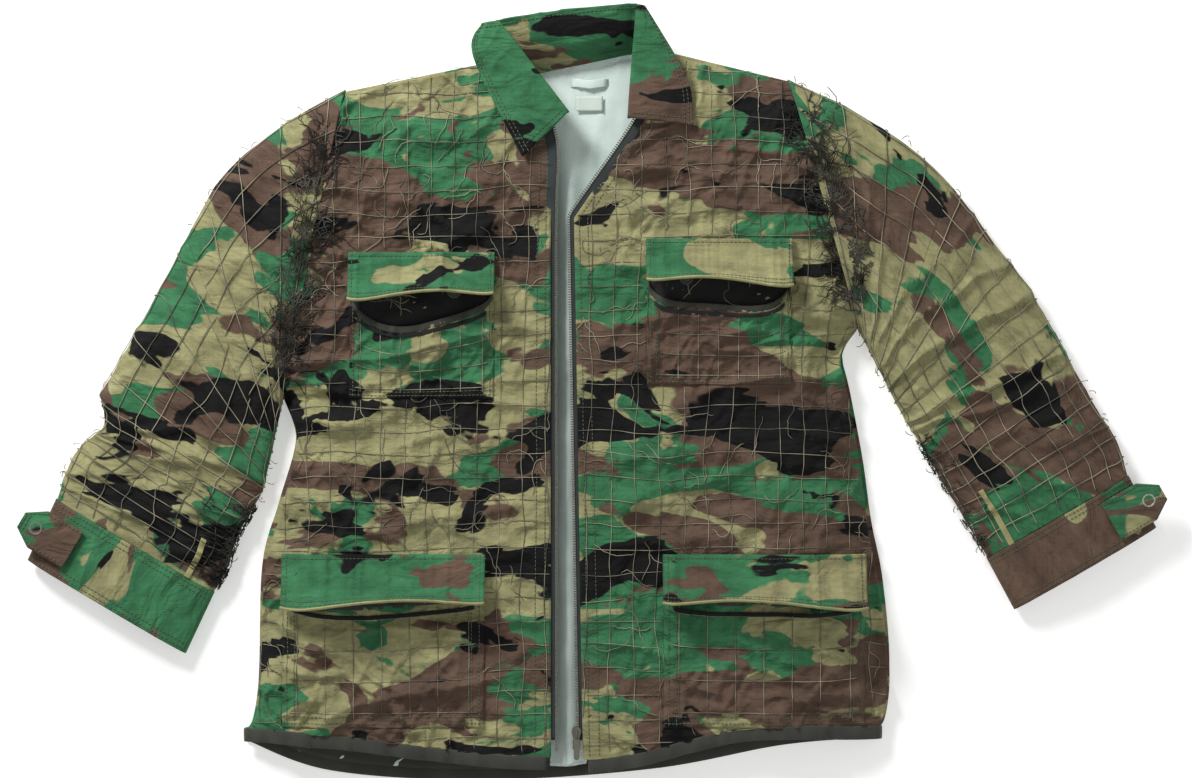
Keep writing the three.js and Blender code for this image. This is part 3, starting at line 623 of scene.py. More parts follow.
@dataclass(frozen=True)
class WornMetal(Finish):
    """Plated zinc or brass hardware, tumbled smooth: bright on the rubbed parts, dull elsewhere."""

    def build(self) -> bpy.types.Material:
        """A metal whose roughness and tone change in small patches.

        Returns:
            The material.
        """
        material, tree, shader = self.start()
        coords = put(tree, "ShaderNodeTexCoord")
        # Rubbed patches are about 2.4 mm wide.
        rubbed = put(tree, "ShaderNodeTexNoise", {
            "Vector": coords.outputs["Object"], "Scale": 420.0, "Detail": 4.0})
        rough = put(tree, "ShaderNodeMapRange", {
            "Value": rubbed.outputs["Fac"], "To Min": self.roughness - 0.12, "To Max": self.roughness + 0.22})
        colour = blended(tree, rubbed.outputs["Fac"], srgb(self.colour), srgb("#6f6d62"))
        tree.links.new(colour, shader.inputs["Base Color"])
        tree.links.new(rough.outputs[0], shader.inputs["Roughness"])
        return material


@dataclass(frozen=True)
class MouldedPlastic(Finish):
    """Urea buttons, compression moulded and tumbled: an even dye with a soft gloss and fine scuffs."""

    def build(self) -> bpy.types.Material:
        """A dye with faint clouding, and scuffs in its roughness.

        Returns:
            The material.
        """
        material, tree, shader = self.start()
        coords = put(tree, "ShaderNodeTexCoord")
        # The clouding of the moulded dye is about 6 mm wide.
        cloud = put(tree, "ShaderNodeTexNoise", {
            "Vector": coords.outputs["Object"], "Scale": 160.0, "Detail": 3.0})
        colour = blended(tree, cloud.outputs["Fac"], srgb(self.colour), srgb("#4a5140"))
        rough = put(tree, "ShaderNodeMapRange", {
            "Value": cloud.outputs["Fac"], "To Min": self.roughness - 0.1, "To Max": self.roughness + 0.15})
        tree.links.new(colour, shader.inputs["Base Color"])
        tree.links.new(rough.outputs[0], shader.inputs["Roughness"])
        return material


# ---- the lay-out of one half --------------------------------------------------------------


@dataclass
class Half:
    """Outlines of one half of the coat, in lay-out millimetres."""

    side: Side
    armpit: tuple[float, float]
    shoulder: tuple[float, float]
    neck: tuple[float, float]
    side_seam: list[tuple[float, float]]
    hem_out: float
    hem_side: float
    hem_zip: float
    hem_sag: float
    axis_top: float
    axis_hem: float
    panel_top: float
    bead_top: float
    bead_hem: float
    neck_edge: list[tuple[float, float]]
    chest_pocket: tuple[float, float]
    outer_upper: list[tuple[float, float]]
    elbow_outer: tuple[float, float]
    elbow_inner: tuple[float, float]
    outer_fore: list[tuple[float, float]]
    inner_fore: list[tuple[float, float]]
    cuff_outer: tuple[float, float]
    cuff_inner: tuple[float, float]
    cuff_drop: tuple[float, float]
    lower_from_side: float = 27.0

    def __post_init__(self) -> None:
        """Works out the corners and the fold line that several pieces share."""
        self.sign = float(self.side.value)
        self.pit, self.tip, self.nape = (np.array(p, float) for p in (self.armpit, self.shoulder, self.neck))
        self.hem = np.array([self.pit[0] + self.sign * self.hem_out, self.hem_side])
        seam = [(self.pit[0] + self.sign * out, max(y, self.hem_side + 30)) for out, y in self.side_seam]
        self.seam_points = [tuple(self.hem), *reversed(seam), self.armpit]
        self.fold_top = np.array([self.pit[0] + self.sign * self.axis_top, self.pit[1]])
        self.fold_hem = np.array([self.pit[0] + self.sign * self.axis_hem, self.hem_side])
        along = self.fold_top - self.fold_hem
        self.fold_along = along / np.linalg.norm(along)
        self.top_slope = -along[0] / along[1]
        self.elbow_out, self.elbow_in = self.tip + self.elbow_outer, self.pit + self.elbow_inner
        self.cuff_out, self.cuff_in = self.elbow_out + self.cuff_outer, self.elbow_in + self.cuff_inner

    def armhole_x(self, y: Array) -> Array:
        """X of the armhole line at a height along the coat."""
        return self.pit[0] + (self.tip[0] - self.pit[0]) * (y - self.pit[1]) / (self.tip[1] - self.pit[1])

    def edge_x(self, y: Array) -> Array:
        """X of the front's zip edge: the row of teeth and its tape stand before it."""
        return self.bead_x(y) + self.sign * LAY.zip_strip

    def bead_x(self, y: Array) -> Array:
        """X of the row of teeth."""
        share = (y - self.hem_zip) / (self.panel_top - self.hem_zip)
        return self.bead_hem + (self.bead_top - self.bead_hem) * share

    def top_y(self, x: Array) -> Array:
        """Y of the line that the lifted front turns to the yoke along."""
        return self.panel_top + (x - self.armhole_x(self.panel_top)) * self.top_slope

    def hem_line(self, x: Array) -> Array:
        """Y of the front hem: level at the side seam, lower at the zip, with its own sag between.

        Args:
            x: places across the coat, in lay-out millimetres.

        Returns:
            Y of the hem at each x.
        """
        t = (x - self.hem[0]) / (self.edge_x(self.hem_zip) - self.hem[0])
        sag = self.hem_sag * np.sin(np.pi * t) ** 2
        return self.hem[1] + (self.hem_zip - self.hem[1]) * ramp(t, 0, 1) + sag

    def outer_edge(self, v: Array) -> Array:
        """The front's outer edge from hem to shoulder: side seam, then the armhole line.

        Args:
            v: shares from the hem to the shoulder.

        Returns:
            Places (..., 2).
        """
        seam = smooth_line(self.seam_points, np.clip(v / 0.5, 0, 1))
        arm = self.pit + (self.tip - self.pit) * np.clip((v - 0.5) / 0.5, 0, 1)[..., None]
        return np.where((v < 0.5)[..., None], seam, arm)

    def inner_edge(self, v: Array) -> Array:
        """The front's inner edge from hem to neck: straight beside the zip, then the open neck.

        Args:
            v: shares from the hem to the neck.

        Returns:
            Places (..., 2).
        """
        turn_y = float(self.top_y(self.edge_x(self.panel_top)))
        low = np.clip(v / 0.72, 0, 1) * (turn_y - self.hem_zip) + self.hem_zip
        straight = np.stack([self.edge_x(low), low], axis=-1)
        corner = (float(self.edge_x(turn_y)), turn_y)
        open_neck = [corner, *[(LAY.zip_x + out, y) for out, y in self.neck_edge], self.neck]
        curve = smooth_line(open_neck, np.clip((v - 0.72) / 0.28, 0, 1))
        return np.where((v < 0.72)[..., None], straight, curve)

    def front_spot(self, u: Array, v: Array) -> Array:
        """Place on the front: u from the outer edge to the inner, v from the hem to the shoulder.

        Args:
            u: shares from the outer edge to the inner.
            v: shares from the hem to the shoulder.

        Returns:
            Places (..., 2).
        """
        spot = self.outer_edge(v) + (self.inner_edge(v) - self.outer_edge(v)) * (u**1.15)[..., None]
        spot[..., 0] -= self.sign * 5.0 * ramp(u, 0.8, 1.0) * (1 - ramp(v, 0.8, 0.95))
        pull = np.clip(1 - v / 0.7, 0, 1) ** 4
        y = spot[..., 1] + (self.hem_line(spot[..., 0]) + LAY.hem_band - spot[..., 1]) * pull
        return np.stack([spot[..., 0], y], axis=-1)


RIGHT = Half(
    side=Side.RIGHT,
    armpit=(-325.5, -2), shoulder=(-261.5, 317), neck=(-119, 346),
    side_seam=[(0, -3), (-13, -45), (5, -110), (23, -170), (27, -279)],
    hem_out=40, hem_side=-365, hem_zip=-392, hem_sag=0,
    axis_top=3, axis_hem=42, panel_top=180, bead_top=-37, bead_hem=-36.5,
    neck_edge=[(-23, 200), (-24, 270), (-57, 328)],
    chest_pocket=(-254, 118),
    outer_upper=[(-58, -32), (-125, -87), (-166, -156)],
    elbow_outer=(-254, -320), elbow_inner=(-21, -102),
    outer_fore=[(1, -32), (-29, -60)],
    inner_fore=[(-25, -42), (-39, -82)],
    cuff_outer=(-47, -108), cuff_inner=(-52, -104), cuff_drop=(-30, -64),
)
LEFT = Half(
    side=Side.LEFT,
    armpit=(277.5, 70), shoulder=(205.5, 328), neck=(86, 357),
    side_seam=[(-16, 44), (-8, 5), (6, -66), (15, -124), (27, -177), (34, -260)],
    hem_out=24, hem_side=-362, hem_zip=-395, hem_sag=14,
    axis_top=22, axis_hem=38, panel_top=192, bead_top=-28, bead_hem=-17.5,
    neck_edge=[(27, 206), (66, 262), (88, 300)],
    chest_pocket=(56, 132),
    outer_upper=[(80, -40), (155, -95), (221, -179)],
    elbow_outer=(267, -243), elbow_inner=(48, -96),
    outer_fore=[(50, -91), (76, -134)],
    inner_fore=[(16, -25), (45, -75)],
    cuff_outer=(88, -172), cuff_inner=(88, -146), cuff_drop=(29, -54),
)
HALVES = (RIGHT, LEFT)


def lay_height(x: Array, y: Array) -> Array:
    """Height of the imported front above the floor.

    It stands 12 mm at the side seams and rises to 36 mm over a 70 mm crown, less near the
    shoulder line.

    Args:
        x: places across the coat, in lay-out millimetres.
        y: places along the coat, in lay-out millimetres.

    Returns:
        Heights, in millimetres.
    """
    heights = []
    for half in HALVES:
        below, above = np.maximum(0, half.pit[1] - y), np.maximum(0, y - half.pit[1])
        spread = below * (half.hem_out / (half.pit[1] - half.hem_side)) + above * 1.2
        from_side = half.sign * (half.pit[0] + half.sign * spread - x)
        slope = (half.nape[1] - half.tip[1]) / (half.nape[0] - half.tip[0])
        line_y = np.minimum(half.tip[1] + slope * (x - half.tip[0]), half.nape[1])
        crown = 1 - (1 - np.clip(from_side / LAY.crown, 0, 1)) ** 2
        full = 1 - (1 - np.clip((line_y - y) / LAY.shoulder_crown, 0, 1)) ** 2
        heights.append(LAY.side_height + (LAY.height - LAY.side_height) * crown * (0.25 + 0.75 * full))
    return np.where(x < LAY.zip_x, heights[0], heights[1])


def relief(x: Array, y: Array) -> Array:
    """Creases and slack of the front cloth, in millimetres above its lay height.

    Long creases run out from each armpit and across the belly, shorter ones cross them, and all
    of them fade toward the zip, which is held straight by its tape.

    Args:
        x: places across the coat, in lay-out millimetres.
        y: places along the coat, in lay-out millimetres.

    Returns:
        Heights above the lay height.
    """
    body = 4.8 * folds(x, y, 9, 210, 46, 3) + 3.6 * folds(x, y, -22, 120, 28, 8)
    body = body + 2.2 * folds(x, y, 66, 70, 19, 15)
    for half in HALVES:
        dx, dy = x - half.pit[0], y - half.pit[1]
        far = np.hypot(dx, dy)
        turn = np.arctan2(dy, -half.sign * dx)
        spokes = np.sin(turn * 9 + 1.3 * lattice(x / 60, y / 60, 31)) * np.exp(-((far - 75) / 75) ** 2)
        body = body + 3.4 * spokes
    held = ramp(np.abs(x - LAY.zip_x), 14, 60)
    crumple = 0.9 * folds(x, y, 30, 26, 10, 72) + 0.7 * folds(x, y, -50, 22, 8, 76)
    return (body - 1.5 + crumple) * held


def front_height(x: Array, y: Array) -> Array:
    """Height of the front's outer face with its creases."""
    return lay_height(x, y) + relief(x, y)


def in_outline(points: Array, outline: Array) -> Array:
    """Even-odd test of points (..., 2) against a closed outline (n, 2).

    Args:
        points: points (..., 2).
        outline: closed outline (n, 2).

    Returns:
        True for each point inside.
    """
    x, y = points[..., 0][..., None], points[..., 1][..., None]
    x0, y0 = outline[:, 0], outline[:, 1]
    x1, y1 = np.roll(x0, -1), np.roll(y0, -1)
    crosses = ((y0 > y) != (y1 > y)) & (x < (x1 - x0) * (y - y0) / np.where(y1 == y0, TINY, y1 - y0) + x0)
    return crosses.sum(axis=-1) % 2 == 1


def bricks(centres: Array, along: Array, size: tuple[float, float, float]) -> tuple[Array, Array]:
    """Small blocks, each lying along its own direction.

    Args:
        centres: n by 3 middles, in millimetres.
        along: n by 3 directions.
        size: length along, width and height.

    Returns:
        Vertices and quads.
    """
    d = along / (np.linalg.norm(along, axis=1, keepdims=True) + TINY)
    side = np.cross(d, [0, 0, 1.0])
    side /= np.linalg.norm(side, axis=1, keepdims=True) + TINY
    up = np.cross(side, d)
    signs = np.array([[i, j, k] for i in (-1, 1) for j in (-1, 1) for k in (-1, 1)], float) / 2
    offs = (signs * np.array(size))[:, :, None]
    verts = centres[:, None] + offs[:, 0] * d[:, None] + offs[:, 1] * side[:, None] + offs[:, 2] * up[:, None]
    ends = [[0, 1, 3, 2], [4, 6, 7, 5]]
    sides = [[0, 4, 5, 1], [2, 3, 7, 6], [0, 2, 6, 4], [1, 5, 7, 3]]
    quads = np.array(ends + sides)[:, ::-1]
    starts = 8 * np.arange(len(centres))[:, None, None]
    return verts.reshape(-1, 3), (quads[None] + starts).reshape(-1, 4)


def resampled(path: Array, pitch: float) -> tuple[Array, Array]:
    """Points at an even pitch along a polyline, and the directions there.

    Args:
        path: points of the line.
        pitch: distance between two points.

    Returns:
        The points and the directions there.
    """
    far = np.concatenate([[0], np.cumsum(np.linalg.norm(np.diff(path, axis=0), axis=1))])
    spots = np.arange(pitch / 2, far[-1], pitch)
    even = np.stack([np.interp(spots, far, path[:, i]) for i in range(path.shape[1])], axis=-1)
    return even, np.gradient(even, axis=0)


def stitched(name: str, paths: Sequence[Array], body: str, finish: bpy.types.Material) -> bpy.types.Object:
    """Rows of lock stitches: 3 mm of thread showing in every 4.4 mm.

    Args:
        name: the piece's name.
        paths: lines that the stitches follow.
        body: body that they ride on, or an empty text where the caller joins them.
        finish: material of the thread.

    Returns:
        One piece with all of the stitches.
    """
    verts, quads, start = [], [], 0
    for path in paths:
        centres, along = resampled(path, STITCH_PITCH)
        v, q = bricks(centres, along, STITCH)
        verts.append(v)
        quads.append(q + start)
        start += len(v)
    piece = make_piece(name, np.vstack(verts), np.vstack(quads))
    piece.data.materials.append(finish)
    if body:
        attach(piece, body)
    return piece


def finished(
    piece: bpy.types.Object, finish: bpy.types.Material, slot: str, *nodes: str
) -> bpy.types.Object:
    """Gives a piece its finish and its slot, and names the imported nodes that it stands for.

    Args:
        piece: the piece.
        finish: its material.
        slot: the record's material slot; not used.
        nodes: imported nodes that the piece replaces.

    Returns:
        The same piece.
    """
    piece.data.materials.append(finish)
    if nodes:
        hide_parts(*nodes)
    LOG.info("made %s", piece.name)
    return piece


def declare(
    spots: Array,
    extras: Sequence[bpy.types.Object] = (),
) -> None:
    """Works out a sheet's cut from the grid that it was made on, as wide and long as its lines; the result is
    not kept.

    Args:
        spots: the grid of points (rows, cols, 3) it was made from, in millimetres.
        extras: pieces that are sewn to it; not used.
    """
    steps_r = np.linalg.norm(np.diff(spots, axis=0), axis=2).sum(axis=0).max() * MM
    steps_c = np.linalg.norm(np.diff(spots, axis=1), axis=2).sum(axis=1).max() * MM
    a, b = np.diff(spots[:, :-1], axis=0), np.diff(spots[:-1], axis=1)
    area = np.linalg.norm(np.cross(a, b), axis=2).sum() * MM * MM
    area = float(np.clip(area, LEAST_CUT * steps_r * steps_c, steps_r * steps_c))


def band(name: str, path: Array, across: Array, width: float, thick: float) -> bpy.types.Object:
    """A flat tape with rounded edges, its section carried along a path.

    Args:
        name: the piece's name.
        path: n by 3 points along the tape's middle, in millimetres.
        across: n by 3 directions across the tape.
        width: full width.
        thick: full thickness.

    Returns:
        The closed tape.
    """
    n = len(path)
    side = across / np.linalg.norm(across, axis=1, keepdims=True)
    along = np.gradient(path, axis=0)
    rise = np.cross(along, side)
    rise /= np.linalg.norm(rise, axis=1, keepdims=True)
    rise *= np.sign(rise[:, 2:3] + TINY)
    turn = np.linspace(0, 2 * np.pi, BAND_SIDES, endpoint=False)
    a = np.sign(np.cos(turn)) * np.abs(np.cos(turn)) ** 0.35 * width / 2
    b = np.sign(np.sin(turn)) * np.abs(np.sin(turn)) ** 0.6 * thick / 2
    ring = a[None, :, None] * side[:, None] + b[None, :, None] * rise[:, None]
    verts = np.concatenate([(path[:, None] + ring).reshape(-1, 3), path[:1], path[-1:]])
    piece = make_piece(name, verts, grid_faces(n, BAND_SIDES, wrap=True))
    k = np.arange(BAND_SIDES)
    j, end = (k + 1) % BAND_SIDES, BAND_SIDES * (n - 1)
    first = np.stack([k, j, np.full(BAND_SIDES, BAND_SIDES * n)], axis=1)
    last = np.stack([j + end, k + end, np.full(BAND_SIDES, BAND_SIDES * n + 1)], axis=1)
    add_triangles(piece, np.vstack([first, last]))
    return piece


def add_triangles(piece: bpy.types.Object, triangles: Array) -> None:
    """Adds triangles between vertices that a piece already has, and turns all faces outward.

    Args:
        piece: the piece.
        triangles: vertex numbers (n, 3).
    """
    work = bmesh.new()
    work.from_mesh(piece.data)
    work.verts.ensure_lookup_table()
    for tri in triangles.tolist():
        work.faces.new([work.verts[i] for i in tri])
    bmesh.ops.recalc_face_normals(work, faces=work.faces[:])
    work.to_mesh(piece.data)
    work.free()
    piece.data.polygons.foreach_set("use_smooth", np.ones(len(piece.data.polygons), bool))


@dataclass
class Wardrobe:
    """The finishes that the coat's pieces share."""

    body: bpy.types.Material = field(init=False)

    def __post_init__(self) -> None:
        """Builds every finish once."""
        # Each panel is cut from another place of the printed cloth, and along its own grain.
        self.body = WoodlandCloth("ripstop_print_body", SAND, 0.9).build()
        self.sleeves = {
            Side.RIGHT: WoodlandCloth("ripstop_print_right_sleeve", SAND, 0.9, turn=-24,
                                      offset=(0.31, 0.12)).build(),
            Side.LEFT: WoodlandCloth("ripstop_print_left_sleeve", SAND, 0.9, turn=-40,
                                     offset=(0.07, 0.43)).build(),
        }
        self.trims = {
            Side.RIGHT: WoodlandCloth("ripstop_print_right_trim", SAND, 0.9, offset=(0.63, 0.21),
                                      green_at=0.41, brown_at=0.56).build(),
            Side.LEFT: WoodlandCloth("ripstop_print_left_trim", SAND, 0.9, offset=(0.17, 0.52),
                                     green_at=0.46, brown_at=0.53).build(),
        }
        self.cuffs = {
            Side.RIGHT: WoodlandCloth("ripstop_print_right_cuff", SAND, 0.9, turn=60, offset=(0.25, 0.8),
                                      green_at=0.4, brown_at=0.55, black_at=0.66).build(),
            Side.LEFT: WoodlandCloth("ripstop_print_left_cuff", SAND, 0.9, turn=-60, offset=(0.9, 0.1),
                                     green_at=0.55, brown_at=0.49, black_at=0.66).build(),
        }
        self.lining = WovenCloth("taffeta_lining", "#d3e2dc", 0.7, vary=0.08).build()
        self.tape = WovenCloth("cotton_zip_tape", "#2a3131", 0.85).build()
        self.binding = WovenCloth("cotton_hem_binding", "#3a3b34", 0.9).build()
        # Sand tape binds the sleeve plackets; the same colour along the flaps' free edges is a painted
        # highlight.
        self.sand_tape_and_highlight = WovenCloth("sand_cotton_facing", "#9a9668", 0.9).build()
        # Near black: painted shade inside the pockets' mouths and along their folds.
        self.dark = WovenCloth("pocket_painted_shade", "#151614", 0.95).build()
        self.thread = WovenCloth("polyester_thread", "#57604a", 0.8).build()
        self.twine = TwistedTwine("jute_netting_twine", "#a39c85", 0.95, dark="#57554a").build()
        self.dark_twine = TwistedTwine("dyed_netting_twine", "#4b4a43", 0.95, dark="#15140f").build()
        self.metal = WornMetal("tumbled_zip_zinc", "#9a9788", 0.42, 1.0).build()
        self.snap = WornMetal("plated_snap_brass", "#cfd6cd", 0.32, 1.0).build()
        self.button = MouldedPlastic("moulded_urea_button", "#2f3a2c", 0.45).build()
        self.label = WovenCloth("blank_satin_label", "#ccd8cf", 0.7, vary=0.05).build()


@dataclass
class Back:
    """The flat back of the coat: cloth, netting, lining, hem binding, loop and blank label."""

    looks: Wardrobe
    rows: int = 70
    cols: int = 90
    hem_points: tuple = (
        (-365.5, -365), (-276, -397), (-116, -407), (64, -395), (200, -370), (301.5, -362),
    )

    def spot(self, u: Array, v: Array, inset: float) -> Array:
        """Place on the back: u from the right side to the left, v from the hem to the shoulders.

        Args:
            u: shares from the right side to the left.
            v: shares from the hem to the shoulders.
            inset: how far inside the edge, in millimetres.

        Returns:
            Places (..., 2).
        """
        right, left = RIGHT.outer_edge(v), LEFT.outer_edge(v)
        right = right + [inset, -inset * 0.4]
        left = left + [-inset, -inset * 0.4]
        spot = right + (left - right) * u[..., None]
        hem = smooth_line(self.hem_points, np.linspace(0, 1, 80))
        low = np.interp(spot[..., 0], hem[:, 0], hem[:, 1]) + LAY.hem_band - 1
        y = spot[..., 1] + (low - spot[..., 1]) * np.clip(1 - v / 0.6, 0, 1) ** 5
        top = np.interp(spot[..., 0], [-261.5, -119, -63, 38, 86, 205.5], [317, 346, 340, 361, 357, 328])
        y = y + (top - inset * 0.4 - y) * np.clip((v - 0.75) / 0.25, 0, 1) ** 3
        return np.stack([spot[..., 0], y], axis=-1)

    def grid(self, inset: float) -> tuple[Array, Array, Array]:
        """The back's places, with u and v."""
        u, v = np.meshgrid(np.linspace(0, 1, self.cols), np.linspace(0, 1, self.rows))
        return self.spot(u, v, inset), u, v

    def build(self) -> None:
        """Makes and dresses every piece of the back."""
        spots, _, _ = self.grid(0)
        x, y = spots[..., 0], spots[..., 1]
        cloth = np.dstack([spots, 4.2 + 0.5 * cloudy(x, y, 60, 90, 2)])
        piece = cloth_sheet("back_cloth", cloth, 2.6)
        self.dress(piece, self.looks.body, "woodland_cloth", "back_panel")
        inner, _, _ = self.grid(13)
        x, y = inner[..., 0], inner[..., 1]
        rise = 6.4 + 1.5 * np.maximum(0, folds(x, y, 80, 120, 26, 44))
        rise = rise + 1.2 * np.maximum(0, folds(x, y, 20, 70, 20, 47))
        rise = rise + 15 * np.exp(-(((x - LAY.zip_x) / 13) ** 2)) * (1 - ramp(y, 180, 300))
        lining = cloth_sheet("back_inside", np.dstack([inner, rise]), 0.8)
        self.dress(lining, self.looks.lining, "lining", "back_lining")
        hem = smooth_line(self.hem_points, np.linspace(0, 1, 120))
        up = np.linspace(LAY.hem_band - 2, 62, 12)[:, None]
        squeeze = LAY.zip_x + (hem[None, :, 0] - LAY.zip_x) * (1 - 0.0009 * up)
        facing_spots = np.dstack([squeeze, hem[None, :, 1] + up, np.full((12, 120), 8.6)])[:, 4:-4]
        facing = cloth_sheet("back_hem_facing", facing_spots, 0.8)
        self.dress(facing, self.looks.binding, "binding")
        path = np.dstack([hem[None, :, 0], hem[None, :, 1] + LAY.hem_band / 2, np.full((1, 120), 2.7)])[0]
        across = np.tile([0.0, 1.0, 0.0], (120, 1))
        bind = band("back_hem_tape", path, across, LAY.hem_band, 4.2)
        self.dress(bind, self.looks.binding, "binding", "back_hem_binding")
        net = string_piece("back_net", self.net_lines(), 0.38)
        self.dress(net, self.looks.dark_twine, "netting", "back_netting")
        loop = np.array([[LAY.zip_x + 2, 326, 6.5], [LAY.zip_x + 8, 326, 10], [LAY.zip_x + 22, 324, 11],
                         [LAY.zip_x + 36, 326, 10], [LAY.zip_x + 42, 326, 6.5]])
        hang = band("hanging_tape", loop, np.tile([0.0, 1.0, 0.0], (5, 1)), 9, 1.2)
        self.dress(hang, self.looks.lining, "binding", "hanger_loop")
        gx, gy = np.meshgrid(np.linspace(-18, 10, 12), np.linspace(296, 312, 8))
        label = cloth_sheet("blank_label", np.dstack([gx, gy, 10.4 + 0.4 * np.sin(gx / 9)]), 0.5)
        self.dress(label, self.looks.label, "lining")
        declare(cloth, [bind, net])
        declare(np.dstack([inner, rise]), [label, facing])

    def dress(self, piece: bpy.types.Object, finish: bpy.types.Material, slot: str, *nodes: str) -> None:
        """Gives a piece its finish and puts it on the back body."""
        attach(finished(piece, finish, slot, *nodes), "coat_back")

    def net_lines(self) -> list[Array]:
        """Strings on the back, 25 mm apart each way, under the cloth.

        Returns:
            Polylines (n, 3).
        """
        spots, _, _ = self.grid(3)
        ring = np.concatenate([spots[0], spots[:, -1], spots[-1, ::-1], spots[::-1, 0]])
        return square_net(ring, lambda x, y: np.full(x.shape, 0.9), NET_PITCH, 5, step=12.0)


def square_net(outline: Array, height: Callable, pitch: float, seed: int, step: float = 4.0,
               keep: Callable | None = None) -> list[Array]:
    """Strings of a square net laid on a surface and cut to an outline.

    Args:
        outline: closed outline (n, 2).
        height: height of the surface at x and y.
        pitch: side of a mesh square.
        seed: which waviness.
        step: spacing of points along a string.
        keep: an optional test of x and y that leaves some of the net out.

    Returns:
        Polylines.
    """
    low, high = outline.min(axis=0), outline.max(axis=0)
    lines = []
    for axis in (0, 1):
        other = 1 - axis
        for at in np.arange(low[axis] - 10, high[axis] + 10, pitch):
            s = np.arange(low[other], high[other], step)
            points = np.zeros((len(s), 2))
            points[:, other] = s
            points[:, axis] = at
            warp = 3.6 * cloudy(points[:, 0], points[:, 1], 70, seed + 3 * axis, 3)
            points[:, axis] += warp + 4 * np.sin(points[:, other] / 210 + axis)
            inside = in_outline(points, outline)
            if keep is not None:
                inside &= keep(points[:, 0], points[:, 1])
            lines += runs(np.column_stack([points, height(points[:, 0], points[:, 1])]), inside)
    return lines


